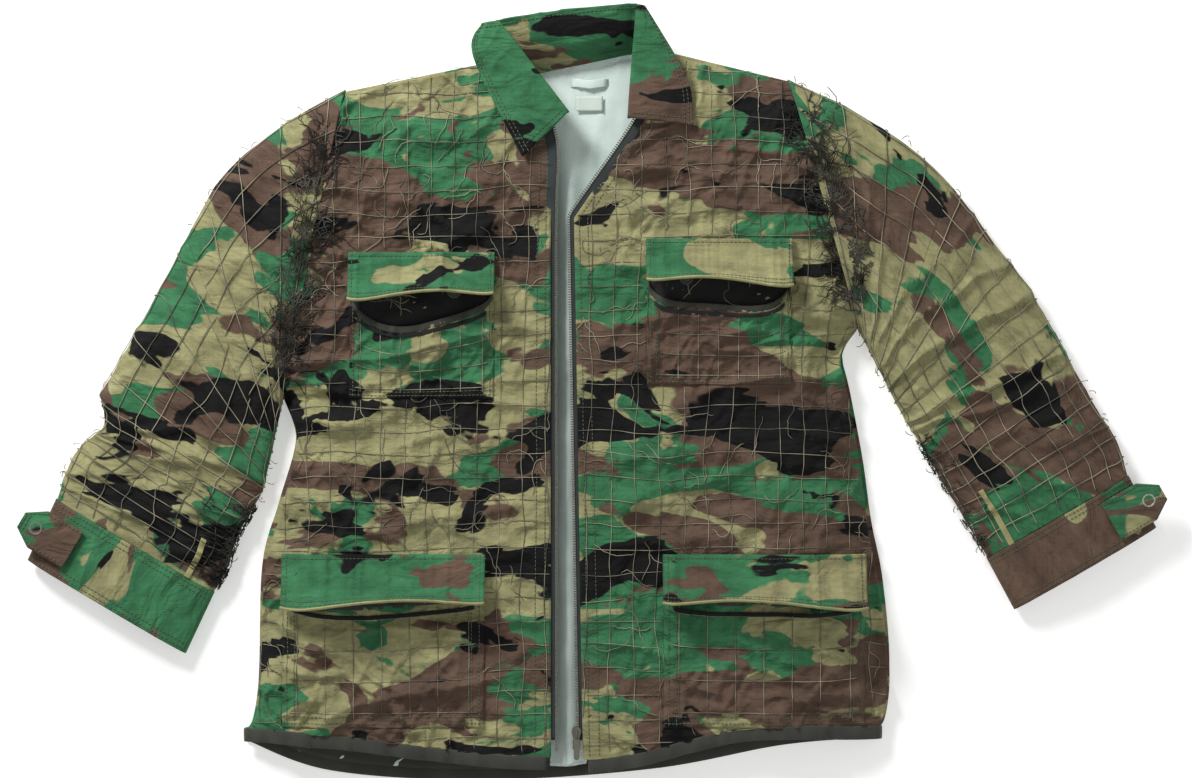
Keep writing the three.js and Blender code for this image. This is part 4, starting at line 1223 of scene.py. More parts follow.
@dataclass
class Front:
    """One front of the coat with its yoke: cloth, netting, lining, hem and zip edge."""

    half: Half
    looks: Wardrobe
    rows: int = 230
    cols: int = 110
    foot_y: float = -361.0

    def joined(self, piece: bpy.types.Object) -> None:
        """Bakes a piece's placement into its mesh; the place where the front turns to the yoke is worked out
        and not used.

        Args:
            piece: the piece.
        """
        at = np.array([self.half.pit[0] + 0.5 * (LAY.zip_x - self.half.pit[0]), 0.0])
        at[1] = self.half.top_y(at[0]) - 4
        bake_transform(piece)

    def grid(self) -> tuple[Array, Array, Array]:
        """Places on the front, with u and v."""
        u, v = np.meshgrid(np.linspace(0, 1, self.cols), np.linspace(0, 1, self.rows))
        return self.half.front_spot(u, v), u, v

    def build(self) -> None:
        """Makes and dresses every piece of this front."""
        name = self.half.side.label
        spots, u, v = self.grid()
        x, y = spots[..., 0], spots[..., 1]
        z = front_height(x, y)
        low = ((u < 0.012) & (v < 0.5)) | (v > 0.994)
        z = np.where(low, 5.2, z)
        neck = ramp(v, 0.72, 0.8) * ramp(u, 0.93, 1.0)
        z = z - 3 * neck
        grid = np.dstack([x, y, z])
        cloth = cloth_sheet(f"front_cloth_{name}", grid, 1.3)
        finished(cloth, self.looks.body, "woodland_cloth", f"front_panel_{name}", f"yoke_{name}")
        self.joined(cloth)
        lowest = z.copy()
        for step in (-4, -2, 2, 4):
            lowest = np.minimum(lowest, np.minimum(np.roll(z, step, axis=0), np.roll(z, step, axis=1)))
        inner = np.dstack([x, y, np.maximum(lowest - 2.2, 5.0)])[4:-4:3, 4::3]
        lining = cloth_sheet(f"front_inside_{name}", inner, 0.7)
        finished(lining, self.looks.lining, "lining", f"front_lining_{name}")
        self.joined(lining)
        net = self.net(grid)
        hem = self.hem()
        rows = self.seams(grid)
        declare(grid, [net, hem, rows, self.bunch()])
        declare(inner)
        self.zip_edge()
        LOG.info("made the %s front", name)

    def net(self, grid: Array) -> bpy.types.Object:
        """Netting sewn over the front, left out under the pockets' pouches.

        Args:
            grid: grid of the front cloth (rows, cols, 3).

        Returns:
            The netting.
        """
        half, name = self.half, self.half.side.label
        ring = np.concatenate([grid[8:, 1], grid[-1, 1:], grid[::-1, -1], grid[8, ::-1]])[:, :2]
        pockets = [Pocket(half, kind, self.looks).box for kind in Kind]

        def keep(x: Array, y: Array) -> Array:
            """True away from the flaps.

            Args:
                x: places across the coat, in lay-out millimetres.
                y: places along the coat, in lay-out millimetres.

            Returns:
                True where the net is kept.
            """
            clear = np.ones(x.shape, bool)
            for x0, y0, x1, y1 in pockets:
                clear &= ~((x > x0 - 1) & (x < x1 + 1) & (y > y0 - 1) & (y < y1 + 30))
            return clear

        seed = 100 + 10 * int(half.sign)
        lines = square_net(ring, lambda x, y: front_height(x, y) + NET_TOP, NET_PITCH, seed, keep=keep)
        net = string_piece(f"front_net_{name}", lines + self.loose(ring), 0.42)
        finished(net, self.looks.twine, "netting", f"front_netting_{name}", f"yoke_netting_{name}")
        self.joined(net)
        return net

    def loose(self, ring: Array) -> list[Array]:
        """Cut ends and slack loops of twine that lie curled on the cloth.

        Args:
            ring: outline that the strings stay in.

        Returns:
            Polylines (n, 3).
        """
        rng = np.random.default_rng(40 + int(self.half.sign))
        low, high = ring.min(axis=0), ring.max(axis=0)
        lines = []
        for start in rng.uniform(low, high, (150, 2)):
            turn = rng.uniform(0, 2 * np.pi) + np.cumsum(rng.normal(0.05, 0.34, 16))
            spots = start + np.cumsum(np.column_stack([np.cos(turn), np.sin(turn)]) * 3.0, axis=0)
            x, y = spots[:, 0], spots[:, 1]
            lines += runs(np.column_stack([spots, front_height(x, y) + 1.2]), in_outline(spots, ring))
        return lines

    def bunch(self) -> bpy.types.Object:
        """Dark netting gathered along the armhole.

        Returns:
            The gathered strings.
        """
        half = self.half
        rng = np.random.default_rng(60 + int(half.sign))
        along = (half.tip - half.pit) / np.linalg.norm(half.tip - half.pit)
        out = np.array([-along[1], along[0]]) * half.sign
        lines = []
        for share, off in zip(rng.uniform(0.02, 0.84, 260), rng.normal(-7, 8, 260)):
            start = half.pit + (half.tip - half.pit) * share + out * off
            turn = math.atan2(along[1], along[0]) + rng.normal(0, 0.35) + np.cumsum(rng.normal(0, 0.4, 12))
            spots = start + np.cumsum(np.column_stack([np.cos(turn), np.sin(turn)]) * 3.0, axis=0)
            x, y = spots[:, 0], spots[:, 1]
            z = front_height(x, y) + 0.9 + rng.uniform(0, 1.6)
            lines.append(np.column_stack([spots, z]))
        net = string_piece(f"armhole_net_{half.side.label}", lines, 0.6)
        finished(net, self.looks.dark_twine, "netting")
        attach(net, "coat_back")
        return net

    def hem(self) -> bpy.types.Object:
        """The dark binding folded over the front hem.

        Returns:
            The binding.
        """
        half, name = self.half, self.half.side.label
        x = np.linspace(half.hem[0], half.edge_x(half.hem_zip), 90)
        y = half.hem_line(x) + LAY.hem_band / 2
        path = np.column_stack([x, y, lay_height(x, y) - 1.2 + 0.8 * relief(x, y)])
        hem = band(f"front_hem_tape_{name}", path, np.tile([0.0, 1.0, 0.12], (90, 1)), LAY.hem_band + 1, 4.0)
        finished(hem, self.looks.binding, "binding", f"front_hem_binding_{name}")
        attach(hem, f"front_{name}")
        return hem

    def seams(self, grid: Array) -> bpy.types.Object:
        """Stitch rows beside the zip, along the armhole and across the yoke.

        Args:
            grid: grid of the front cloth (rows, cols, 3).

        Returns:
            The stitch rows.
        """
        name = self.half.side.label
        lift = np.array([0, 0, 0.25])
        paths = [grid[8:, -3] + lift, grid[8:, -6] + lift]
        piece = stitched(f"front_stitches_{name}", paths, "", self.looks.thread)
        self.joined(piece)
        return piece

    def zip_edge(self) -> None:
        """Tape and real small teeth along the front edge and up the open neck."""
        half, name = self.half, self.half.side.label
        turn_y = float(half.top_y(half.edge_x(half.panel_top)))
        y = np.linspace(self.foot_y, turn_y, 120)
        low = np.column_stack([half.edge_x(y), y])
        corner = (float(half.edge_x(turn_y)), turn_y)
        neck = smooth_line([corner, *[(LAY.zip_x + out, yy) for out, yy in half.neck_edge], half.neck],
                           np.linspace(0, 0.62, 60))[1:]
        edge = np.vstack([low, neck])
        along = np.gradient(edge, axis=0)
        out = np.column_stack([-along[:, 1], along[:, 0]]) * half.sign
        out /= np.linalg.norm(out, axis=1, keepdims=True)
        z = lay_height(edge[:, 0], edge[:, 1])
        spot = edge + out * 4.2
        path = np.column_stack([spot, z - 2.6])
        across = np.column_stack([out, np.zeros(len(out))])
        tape = band(f"zip_tape_cloth_{name}", path, across, 10.5, 1.3)
        finished(tape, self.looks.tape, "zip_tape", f"zip_tape_{name}", f"zip_top_{name}")
        self.joined(tape)
        row = np.column_stack([edge + out * 10.6, z - 2.0])
        centres, d = resampled(row, TOOTH_PITCH)
        d = np.cross(d, [0, 0, 1.0])
        verts, quads = bricks(centres, d, TOOTH)
        teeth = make_piece(f"zip_row_{name}", verts, quads, smooth=False)
        finished(teeth, self.looks.metal, "zip_metal", f"zip_teeth_{name}")
        self.joined(teeth)


class Kind(Enum):
    """The two kinds of pocket on each front."""

    CHEST = "chest"
    LOWER = "lower"


@dataclass
class Pocket:
    """A patch pocket with a gaping mouth and a lifted, stitched flap."""

    half: Half
    kind: Kind
    looks: Wardrobe
    seam_above: float = 29.0
    seam_rise: float = 3.6
    tilt: float = 20.0

    @property
    def box(self) -> tuple[float, float, float, float]:
        """Lowest and highest x and y of the pouch.

        Returns:
            Lowest x and y, highest x and y.
        """
        if self.kind is Kind.CHEST:
            x, mouth = self.half.chest_pocket
            return x, mouth - 123, x + 150, mouth
        seam_x = smooth_line(self.half.seam_points, np.array([0.28]))[0, 0]
        side = seam_x - self.half.sign * self.half.lower_from_side
        x0 = side if self.half.sign < 0 else side - 211
        y0 = (self.half.hem_side + self.half.hem_zip) / 2 + LAY.hem_band + 16
        return x0, y0, x0 + 211, y0 + 152

    def pouch(self) -> Array:
        """The pouch's face: it leaves the front at three sides and gapes at the mouth.

        Returns:
            Grid (60, 80, 3).
        """
        x0, y0, x1, y1 = self.box
        u, v = np.meshgrid(np.linspace(0, 1, 80), np.linspace(0, 1, 60))
        most = 54 if self.kind is Kind.CHEST else 26
        sag = most * np.sin(np.pi * u) ** 0.3 * (0.88 + 0.12 * np.cos(5 * u + self.half.sign))
        x = x0 + (x1 - x0) * u
        y = y0 + (y1 - sag - y0) * v
        edge = np.clip(np.minimum(u, 1 - u) * (x1 - x0) / 9, 0, 1) * np.clip(v * (y1 - y0) / 9, 0, 1)
        puff = 1.6 + edge**0.5 * (1.4 + 5.2 * v**1.5 * np.sin(np.pi * u) ** 0.6)
        crease = edge * (1.5 * folds(x, y, 5, 110, 24, 60) + 1.0 * folds(x, y, 85, 70, 26, 64))
        return np.dstack([x, y, front_height(x, y) + puff + crease])

    def flap(self) -> Array:
        """The flap: it leaves its seam and stands open, its free edge waved.

        Returns:
            Grid (30, 80, 3).
        """
        x0, _, x1, y1 = self.box
        length = 60 if self.kind is Kind.CHEST else 67
        u, v = np.meshgrid(np.linspace(0, 1, 80), np.linspace(0, 1, 30))
        corner = 5 * (2 * np.abs(u - 0.5)) ** 8
        lift = 0.72 + 0.28 * np.sin(np.pi * u + 0.4 * self.half.sign)
        turn = np.radians((self.tilt + 28 * v**1.5) * lift)
        reach = v * (length - corner)
        x = x0 - 1 + (x1 - x0 + 2) * u
        y = y1 + self.seam_above - reach * np.cos(turn)
        foot = front_height(x, np.full_like(x, y1 + self.seam_above)) + self.seam_rise
        wave = v**1.5 * (2.2 * np.sin(u * 7.3 + self.half.sign) + 1.2 * lattice(x / 23, y / 23, 77))
        return np.dstack([x, y, foot + reach * np.sin(turn) * (1 - 0.3 * v) + wave])

    def build(self) -> None:
        """Makes and dresses the pouch, its inside painted near black as shade, its lips, a band of painted
        shade at its fold, and its flap.
        """
        name, kind = self.half.side.label, self.kind.value
        body = f"front_{name}"
        face = self.pouch()
        pouch = cloth_sheet(f"{kind}_pouch_{name}", face, 1.2)
        self.dress(pouch, self.looks.body, "woodland_cloth", body, f"{kind}_pocket_{name}")
        x0, _, x1, y1 = self.box
        # The sheet in the mouth is near black: painted shade where the gaping mouth is dark inside.
        gx, gy = np.meshgrid(np.linspace(x0 + 3, x1 - 3, 40), np.linspace(y1 - 72, y1 + 16, 20))
        bag = np.dstack([gx, gy, front_height(gx, gy) + 0.9])
        inside = cloth_sheet(f"{kind}_pocket_inside_{name}", bag, 0.6)
        self.dress(inside, self.looks.dark, "woodland_cloth", body)
        level = np.tile([0.0, 1.0, 0.0], (80, 1))
        lip = band(f"{kind}_pocket_lip_{name}", face[-1] + [0, -1.5, -0.4], level, 7.0, 2.0)
        self.dress(lip, self.looks.binding, "binding", body)
        # A near-black band along the pouch's fold is painted shade in the fold.
        fold_path = face[-7, 4:-4] + [0, 0, 0.9]
        fold = band(f"{kind}_pocket_fold_{name}", fold_path, level[4:-4], 4.5, 1.8)
        self.dress(fold, self.looks.dark, "binding", body)
        leaf, hung = self.flap(), f"{kind}_{name}_flap"
        flap = cloth_sheet(f"{kind}_flap_cloth_{name}", leaf, 1.8)
        self.dress(flap, self.looks.trims[self.half.side], "woodland_cloth", hung, f"{kind}_flap_{name}")
        # A sand band along the flap's free edge is a painted highlight where the edge turns up to the light.
        tilted = np.tile([0.0, 0.8, 0.6], (80, 1))
        edge_highlight = band(f"{kind}_flap_rim_{name}", leaf[-1] + [0, -0.8, 0.1], tilted, 3.0, 2.2)
        self.dress(edge_highlight, self.looks.sand_tape_and_highlight, "woodland_cloth", hung)
        up = 0.35 * UP
        rows = [leaf[-3] + up, leaf[-6] + up, leaf[2] + up, leaf[:, 2] + up, leaf[:, -3] + up]
        sewn = stitched(f"{kind}_flap_stitches_{name}", rows, hung, self.looks.thread)
        edge = [face[1:, 2] + up, face[1:, -3] + up, face[2] + up]
        edge += [face[1:, 5] + up, face[1:, -6] + up, face[5] + up]
        quilt = stitched(f"{kind}_pouch_stitches_{name}", edge, body, self.looks.thread)
        net = self.net(face)
        declare(face, [quilt, lip, fold, net])
        declare(bag)
        declare(leaf, [sewn, edge_highlight])

    def net(self, face: Array) -> bpy.types.Object:
        """The strings that cross the pouch's face.

        Args:
            face: grid of the pouch's face.

        Returns:
            The strings.
        """
        rows, cols, _ = face.shape
        lines = [face[4:-3, c] + [0, 0, 0.6] for c in np.linspace(6, cols - 7, 7).astype(int)]
        lines += [face[r, 3:-3] + [0, 0, 0.6] for r in np.linspace(7, rows - 8, 4).astype(int)]
        net = string_piece(f"{self.kind.value}_pocket_net_{self.half.side.label}", lines, 0.45)
        self.dress(net, self.looks.twine, "netting", f"front_{self.half.side.label}")
        return net

    def dress(
        self, piece: bpy.types.Object, finish: bpy.types.Material, slot: str, body: str, *nodes: str
    ) -> None:
        """Gives a piece its finish and its body."""
        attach(finished(piece, finish, slot, *nodes), body)


@dataclass
class Collar:
    """The stand behind the neck and the two wings folded down over the fronts."""

    looks: Wardrobe
    back_foot: tuple = ((-68, 342), (-10, 351), (36, 362))
    back_top: tuple = ((-96, 388), (-30, 398), (42, 405))
    right_roll: tuple = ((-99, 387), (-27, 291))
    right_edge: tuple = ((-116, 385), (-125, 350), (-74, 246))
    left_roll: tuple = ((45, 404), (38, 286))
    left_edge: tuple = ((54, 403), (85, 352), (101, 317), (104, 279))

    def stand(self) -> Array:
        """The leaf behind the neck, leaning back as it rises.

        Returns:
            Grid (36, 76, 3).
        """
        u, v = np.meshgrid(np.linspace(-0.09, 1.06, 76), np.linspace(0, 1, 36))
        inside = np.clip(u, 0, 1)
        foot, top = smooth_line(self.back_foot, inside), smooth_line(self.back_top, inside)
        foot[..., 0] += (u - inside) * 110
        top[..., 0] += (u - inside) * 60
        foot[..., 1] -= 6
        spot = foot + (top - foot) * v[..., None]
        high = 34 - 6 * np.abs(2 * inside - 1) ** 6
        crease = 1.5 * folds(spot[..., 0], spot[..., 1], 10, 60, 18, 81) * v
        z = 13 + high * np.sin(v * np.pi / 2) ** 0.9 + crease
        return np.dstack([spot, z])

    def wing(self, roll: tuple, edge: tuple) -> Array:
        """A wing: it comes over the roll line in a round, and its points curl up a little.

        Args:
            roll: points of the line that the wing turns over at.
            edge: points of the wing's free edge.

        Returns:
            Grid (64, 50, 3).
        """
        u, v = np.meshgrid(np.linspace(-0.12, 1, 50), np.linspace(0, 1, 64))
        inner, outer = smooth_line(roll, v), smooth_line(edge, v)
        spot = inner + (outer - inner) * np.maximum(u, -0.04)[..., None]
        flat = np.clip(u, 0, 1)
        z = 45.5 - 6.5 * flat + 2.5 * np.sin(np.pi * flat) - 700 * np.minimum(u, 0) ** 2
        curl = 2.5 * flat**3 * (ramp(v, 0.8, 1) + 0.3)
        crease = 1.0 * folds(spot[..., 0], spot[..., 1], 60, 80, 30, 85)
        return np.dstack([spot, z + curl + crease])

    def build(self) -> None:
        """Makes and dresses the collar's leaves and their edge stitching."""
        stand = self.stand()
        back = cloth_sheet("collar_stand_cloth", stand, 3.0)
        finished(back, self.looks.body, "woodland_cloth", "collar_back")
        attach(back, "coat_back")
        up = np.array([0, 0, 0.4])
        rows = [stand[-4] + up, stand[3] + up]
        sewn = stitched("collar_stand_stitches", rows, "coat_back", self.looks.thread)
        declare(stand, [sewn])
        for side, roll, edge in ((Side.RIGHT, self.right_roll, self.right_edge),
                                 (Side.LEFT, self.left_roll, self.left_edge)):
            name, leaf = side.label, self.wing(roll, edge)
            wing = cloth_sheet(f"collar_wing_cloth_{name}", leaf, 2.6)
            finished(wing, self.looks.trims[side], "woodland_cloth", f"collar_wing_{name}")
            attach(wing, f"collar_wing_{name}")
            rows = [leaf[:, -4] + up, leaf[3, 6:-3] + up, leaf[-4, 6:-3] + up, leaf[:, -7] + up]
            sewn = stitched(f"collar_wing_stitches_{name}", rows, f"collar_wing_{name}", self.looks.thread)
            declare(leaf, [sewn])
        LOG.info("made the collar")


@dataclass
class Sleeve:
    """A sleeve from the armhole to the cuff, with its netting, cuff band, tab and snap."""

    half: Half
    looks: Wardrobe
    around: int = 96

    def __post_init__(self) -> None:
        """Works out the edge lines of the sleeve's two lengths and of its cuff."""
        half = self.half
        outward = (half.elbow_out - half.tip) / np.linalg.norm(half.elbow_out - half.tip)
        self.below = (half.cuff_out + half.cuff_in - half.elbow_out - half.elbow_in) / 2
        self.below /= np.linalg.norm(self.below)
        self.upper_out = [half.tip - 2 * outward, *(half.tip + half.outer_upper), half.elbow_out]
        self.upper_in = [half.pit - 2 * outward, half.elbow_in]
        self.fore_out = [half.elbow_out, *(half.elbow_out + half.outer_fore), half.cuff_out]
        self.fore_in = [half.elbow_in, *(half.elbow_in + half.inner_fore), half.cuff_in]

    def edges(self, h: Array) -> tuple[Array, Array, Array]:
        """Outer and inner edge and rise; h is 0 at the armhole, 1 at the elbow and 2 at the cuff.

        Args:
            h: 0 at the armhole, 1 at the elbow and 2 at the cuff.

        Returns:
            Outer edge, inner edge and rise.
        """
        low, high = np.clip(h, 0, 1), np.clip(h - 1, 0, 1)
        upper = (h <= 1)[..., None]
        outer = np.where(upper, smooth_line(self.upper_out, low), smooth_line(self.fore_out, high))
        inner = np.where(upper, smooth_line(self.upper_in, low), smooth_line(self.fore_in, high))
        rise = LAY.upper_rise + (LAY.fore_rise - LAY.upper_rise) * low
        rise = rise + (LAY.cuff_rise - LAY.fore_rise) * high
        return outer, inner, rise

    def place(self, turn: Array, h: Array, lift: float) -> Array:
        """Place on the sleeve: turn runs round it from the outer side over the top, in radians.

        The section is flat below and crowned above. Creases lie across the sleeve, close at the
        elbow, and a few long ones run down it from the shoulder.

        Args:
            turn: angle round the sleeve, in radians.
            h: 0 at the armhole, 1 at the elbow and 2 at the cuff.
            lift: distance off the cloth, in millimetres.

        Returns:
            Points (..., 3).
        """
        outer, inner, rise = self.edges(h)
        middle, across = (outer + inner) / 2, (outer - inner) / 2
        c, s = np.cos(turn), np.sin(turn)
        wide = np.linalg.norm(across, axis=-1)
        x_share = np.sign(c) * np.abs(c) ** 0.85
        far = h * 215.0
        arc = x_share * wide + 400.0 * (self.half.sign > 0)
        near_elbow = 0.6 + 0.7 * np.exp(-(((h - 1.0) / 0.35) ** 2))
        ease = ramp(h, 0.0, 0.18) * (1 - 0.7 * ramp(h, 1.8, 2.0))
        crease = 4.4 * folds(far, arc, 72, 120, 30, 120) * near_elbow
        crease = crease + 3.2 * folds(far, arc, 16, 150, 34, 124)
        crease = (crease + 0.8 * cloudy(far, arc, 11, 130, 2)) * ease
        grow = (lift + 0.4 * crease * np.clip(s * 2 + 0.5, 0, 1)) / wide
        share = x_share * (1 + grow * np.abs(c))
        depth = np.where(s < 0, LAY.sleeve_mid - LAY.sleeve_floor, rise)
        power = np.where(s < 0, 0.5, 0.8)
        z = LAY.sleeve_mid + np.sign(s) * np.abs(s) ** power * depth + np.maximum(s, 0) * crease + lift * s
        return np.dstack([middle + across * share[..., None], np.maximum(z, 0.5)])

    def wall(self, name: str, first: float, last: float, rows: int) -> tuple[bpy.types.Object, Array]:
        """A length of the sleeve's cloth tube between two places along it.

        Args:
            name: the piece's name.
            first: where it begins along the sleeve.
            last: where it ends along the sleeve.
            rows: rows of the grid.

        Returns:
            The tube and the grid that it was made from.
        """
        round_it = np.linspace(0, 2 * np.pi, self.around, endpoint=False)
        turn, h = np.meshgrid(round_it, np.linspace(first, last, rows))
        spots = self.place(turn, h, 0.0)
        quads = grid_faces(rows, self.around, wrap=True)
        return self.tube_piece(name, spots, quads), spots

    def tube_piece(self, name: str, spots: Array, quads: Array) -> bpy.types.Object:
        """A tube with its cloth thickness inward.

        Args:
            name: the piece's name.
            spots: grid of points (rows, cols, 3), in millimetres.
            quads: vertex numbers of the quads.

        Returns:
            The piece, with a Solidify modifier.
        """
        p = spots.reshape(-1, 3)
        top = quads[np.argmax(p[quads].mean(axis=1)[:, 2])]
        up = np.cross(p[top[1]] - p[top[0]], p[top[3]] - p[top[0]])[2] > 0
        piece = make_piece(name, spots, quads if up else quads[:, ::-1])
        wall = piece.modifiers.new("cloth", "SOLIDIFY")
        wall.thickness = 1.4 * MM
        wall.offset = -1
        return piece

    def net(self, name: str, first: float, last: float, seed: int) -> bpy.types.Object:
        """Strings round and along a length of sleeve, with frayed ends at its side folds.

        Args:
            name: the piece's name.
            first: where it begins along the sleeve.
            last: where it ends along the sleeve.
            seed: which random field or row.

        Returns:
            The strings.
        """
        lines = []
        steps = max(2, int((last - first) * 215 / 25))
        turn = np.linspace(-0.25, np.pi + 0.25, 60)
        for i, h0 in enumerate(np.linspace(first, last, steps, endpoint=False) + 0.04):
            h = h0 + 0.014 * cloudy(turn * 30, np.full(60, 37.0 * i), 17, seed, 2)
            lines.append(self.place(turn[None], np.clip(h, first, last)[None], 1.4)[0])
        h = np.linspace(first, last, int((last - first) * 70))
        for share in np.linspace(-0.95, 0.95, 9):
            bend = share + 0.05 * cloudy(h * 215, np.full(len(h), 91.0 * share), 50, seed + 5, 2)
            lines.append(self.place(np.arccos(np.clip(bend, -1, 1))[None], h[None], 1.4)[0])
        rng = np.random.default_rng(seed + 9)
        for _ in range(14):
            base = rng.uniform(first, last)
            side = 0.0 if rng.uniform() < 0.5 else np.pi
            spot = self.place(np.array([[side]]), np.array([[base]]), 1.0)[0, 0]
            inner_spot = self.place(np.array([[np.pi / 2]]), np.array([[base]]), 0.0)[0, 0]
            out = spot[:2] - inner_spot[:2]
            out /= np.linalg.norm(out)
            s = np.linspace(0, 1, 7)
            far = rng.uniform(2, 7) * np.sin(2 * s)
            curl = rng.uniform(-9, 9) * s**1.3
            end = spot[None, :2] + far[:, None] * out + curl[:, None] * np.array([-out[1], out[0]])
            lines.append(np.column_stack([end, spot[2] + 2 - 3 * s]))
        net = string_piece(name, lines, 0.55)
        return net

    def build(self) -> None:
        """Makes and dresses every piece of this sleeve."""
        half, name, looks = self.half, self.half.side.label, self.looks
        seed = 200 if half.sign > 0 else 260
        upper, spots = self.wall(f"sleeve_cloth_upper_{name}", 0.0, 0.55, 110)
        upper_net = self.net(f"sleeve_net_upper_{name}", 0.0, 0.55, seed)
        lower, low_spots = self.wall(f"sleeve_cloth_lower_{name}", 0.55, 2.0, 240)
        lower_net = self.net(f"sleeve_net_lower_{name}", 0.55, 1.97, seed + 20)
        finished(upper, looks.sleeves[half.side], "woodland_cloth", f"sleeve_upper_{name}")
        finished(upper_net, looks.twine, "netting", f"sleeve_upper_netting_{name}")
        finished(lower, looks.sleeves[half.side], "woodland_cloth", f"sleeve_forearm_{name}")
        finished(lower_net, looks.twine, "netting", f"sleeve_forearm_netting_{name}")
        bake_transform(upper)
        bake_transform(upper_net)
        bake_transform(lower)
        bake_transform(lower_net)
        declare(spots, [upper_net])
        declare(low_spots, [lower_net])
        self.frill()
        self.placket()
        self.cuff()
        self.tab()
        LOG.info("made the %s sleeve", name)

    def frill(self) -> None:
        """Dark netting gathered along the sleeve's inner fold, from the elbow to the cuff."""
        rng = np.random.default_rng(80 + int(self.half.sign))
        lines = []
        for h0 in rng.uniform(1.12, 1.9, 150 if self.half.sign < 0 else 60):
            turn = np.pi - np.abs(rng.normal(0.1, 0.35)) + np.cumsum(rng.normal(0, 0.06, 12))
            h = np.clip(h0 + np.cumsum(rng.normal(0.006, 0.007, 12)), 1.1, 1.99)
            lines.append(self.place(turn[None], h[None], 1.5 + rng.uniform(0, 2.5))[0])
        net = string_piece(f"sleeve_frill_{self.half.side.label}", lines, 0.6)
        finished(net, self.looks.dark_twine, "netting")
        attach(net, f"forearm_{self.half.side.label}")

    def placket(self) -> None:
        """The pale bound edge of the sleeve's opening above the cuff."""
        h = np.linspace(1.62, 2.0, 40)
        turn = np.full(40, np.arccos(-0.62))
        path = self.place(turn[None], h[None], 1.6)[0]
        across = self.place(turn[None] + 0.05, h[None], 1.6)[0] - path
        strip = band(f"sleeve_placket_{self.half.side.label}", path, across, 6.5, 1.6)
        finished(strip, self.looks.sand_tape_and_highlight, "woodland_cloth")
        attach(strip, f"forearm_{self.half.side.label}")

    def cuff(self) -> None:
        """The cuff band with its two rows of stitching at each edge."""
        half, name = self.half, self.half.side.label
        turn, t = np.meshgrid(np.linspace(0, 2 * np.pi, 80, endpoint=False), np.linspace(0, 1, 40))
        drop = np.array(half.cuff_drop, float)
        outer = half.cuff_out + drop * t[..., None]
        inner = half.cuff_in + drop * t[..., None]
        middle, across = (outer + inner) / 2, (outer - inner) / 2
        c, s = np.cos(turn), np.sin(turn)
        share = np.sign(c) * np.abs(c) ** 0.85 * (1 + 1.2 / np.linalg.norm(across, axis=-1))
        depth = np.where(s < 0, LAY.sleeve_mid - 2.0, LAY.cuff_rise + 1.6)
        x, y = (middle + across * share[..., None])[..., 0], (middle + across * share[..., None])[..., 1]
        crease = 1.3 * folds(x, y, 55 * -half.sign, 70, 26, 150) * np.maximum(s, 0)
        z = LAY.sleeve_mid + np.sign(s) * np.abs(s) ** np.where(s < 0, 0.5, 0.8) * depth + crease
        spots = np.dstack([x, y, np.maximum(z, 0.6)])
        cuff = self.tube_piece(f"cuff_band_{name}", spots, grid_faces(40, 80, wrap=True))
        cuff.modifiers["cloth"].thickness = 2.4 * MM
        finished(cuff, self.looks.cuffs[half.side], "woodland_cloth", f"cuff_{name}")
        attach(cuff, f"forearm_{name}")
        up = np.array([0, 0, 0.3])
        rows = [spots[r, 2:39] + up for r in (2, 5, 34, 37)]
        sewn = stitched(f"cuff_stitches_{name}", rows, f"forearm_{name}", self.looks.thread)
        declare(spots, [sewn])

    def tab(self) -> None:
        """The pointed cuff tab, curling a little at its free end."""
        half, name = self.half, self.half.side.label
        middle = half.cuff_out + np.array(half.cuff_drop, float) * 0.5
        inward = (half.cuff_in - half.cuff_out) / np.linalg.norm(half.cuff_in - half.cuff_out)
        foot = middle + inward * 40
        u, v = np.meshgrid(np.linspace(0, 1, 50), np.linspace(-1, 1, 30))
        width = 22 * (1 - 0.6 * np.clip((u - 0.68) / 0.32, 0, 1))
        along = u * 62
        spot = foot - inward * along[..., None] + np.array([inward[1], -inward[0]]) * (v * width)[..., None]
        z = 30.6 + 1.6 * u**2 + 0.5 * np.cos(v * 3) * u - 0.4 * np.abs(v) ** 8
        grid = np.dstack([spot, z])
        tab = cloth_sheet(f"cuff_tab_cloth_{name}", grid, 2.0)
        finished(tab, self.looks.trims[half.side], "woodland_cloth", f"cuff_tab_{name}")
        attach(tab, f"cuff_tab_{name}")
        up = np.array([0, 0, 0.3])
        rows = [grid[2] + up, grid[-3] + up, grid[2:-2, -3] + up, grid[4:-4, -6] + up]
        sewn = stitched(f"cuff_tab_stitches_{name}", rows, f"cuff_tab_{name}", self.looks.thread)
        declare(grid, [sewn])


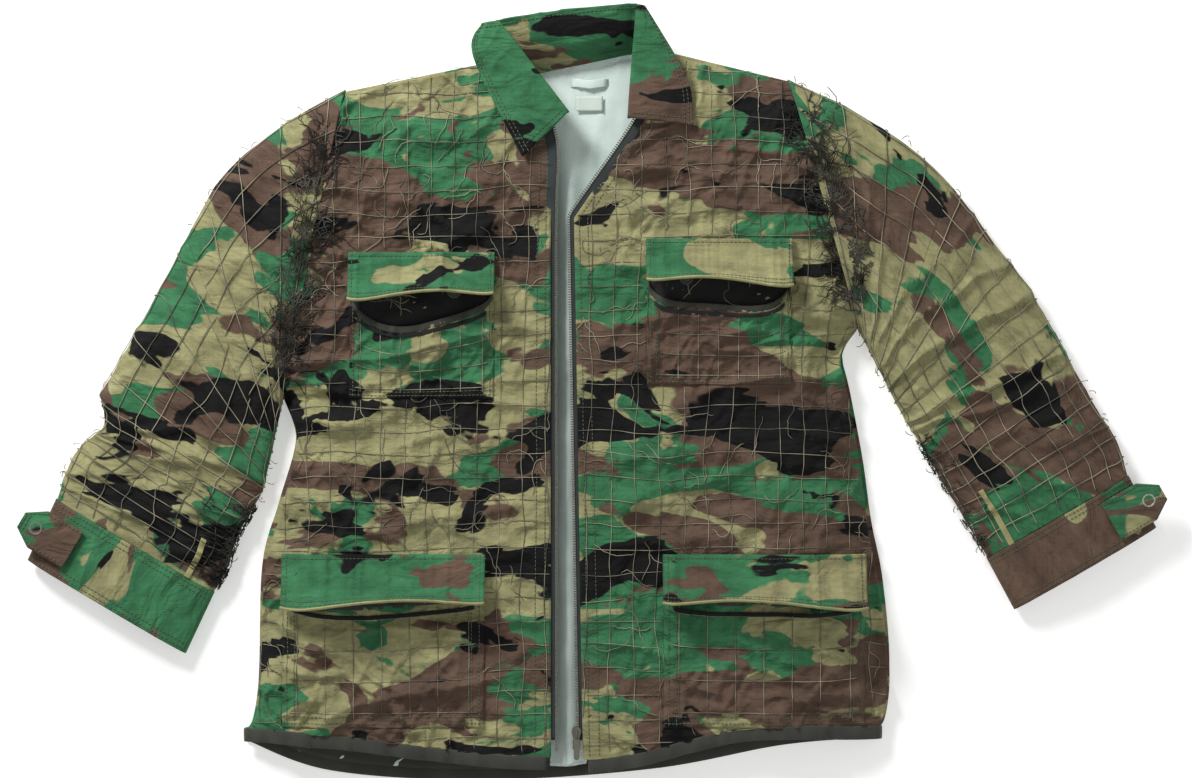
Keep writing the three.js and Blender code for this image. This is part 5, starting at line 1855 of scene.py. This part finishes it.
def dress_hardware(looks: Wardrobe) -> None:
    """Gives the moulded and metal solids that are kept their finishes.

    Args:
        looks: the finishes.
    """
    kept = {"zip_slider": looks.metal, "zip_pull": looks.metal, "zip_retainer_box": looks.metal,
            "zip_insertion_pin": looks.metal}
    for side in ("left", "right"):
        kept[f"cuff_snap_{side}"] = looks.snap
        for kind in ("chest", "lower"):
            for i in (1, 2):
                kept[f"{kind}_button_{side}_{i}"] = looks.button
    for node, finish in kept.items():
        piece = bpy.data.objects[node]
        piece.data.materials.clear()
        piece.data.materials.append(finish)
        LOG.info("dressed %s", node)


def set_stage() -> None:
    """Pale floor, soft lights and the camera straight above the coat."""
    mesh = bpy.data.meshes.new("floor")
    mesh.from_pydata([(-4, -4, 0), (4, -4, 0), (4, 4, 0), (-4, 4, 0)], [], [(0, 1, 2, 3)])
    floor = bpy.data.objects.new("floor", mesh)
    bpy.context.scene.collection.objects.link(floor)
    material, _, shader = Finish("pale_paper_floor", "#f6f6f4", 0.9).start()
    shader.inputs["Specular IOR Level"].default_value = 0.1
    shader.inputs["Emission Color"].default_value = (1, 1, 1, 1)
    shader.inputs["Emission Strength"].default_value = 0.35
    floor.data.materials.append(material)
    for label, place, turn, size, power in (
        ("key", (-1.3, 1.9, 1.5), (-52, -37, 0), 0.7, 72), ("fill", (1.4, -1.0, 2.0), (28, 34, 0), 1.8, 10),
    ):
        light = bpy.data.lights.new(label, "AREA")
        light.size, light.energy = size, power
        lamp = bpy.data.objects.new(label, light)
        lamp.location = place
        lamp.rotation_euler = [math.radians(t) for t in turn]
        bpy.context.scene.collection.objects.link(lamp)
    world = bpy.data.worlds.new("soft_sky")
    world.use_nodes = True
    world.node_tree.nodes["Background"].inputs[0].default_value = (1, 1, 1, 1)
    world.node_tree.nodes["Background"].inputs[1].default_value = 0.38
    bpy.context.scene.world = world
    bpy.context.scene.view_settings.view_transform = "Standard"
    data = bpy.data.cameras.new("camera")
    data.lens = 86
    camera = bpy.data.objects.new("camera", data)
    camera.location = (0.004, 0.005, 3.0)
    bpy.context.scene.collection.objects.link(camera)
    bpy.context.scene.camera = camera


def main() -> None:
    """Builds the coat from its back up."""
    logging.basicConfig(level=logging.INFO, format="%(message)s")
    set_stage()
    looks = Wardrobe()
    Back(looks).build()
    for half in HALVES:
        Front(half, looks).build()
        for kind in Kind:
            Pocket(half, kind, looks).build()
        Sleeve(half, looks).build()
    Collar(looks).build()
    dress_hardware(looks)


if __name__ == "__main__":
    main()
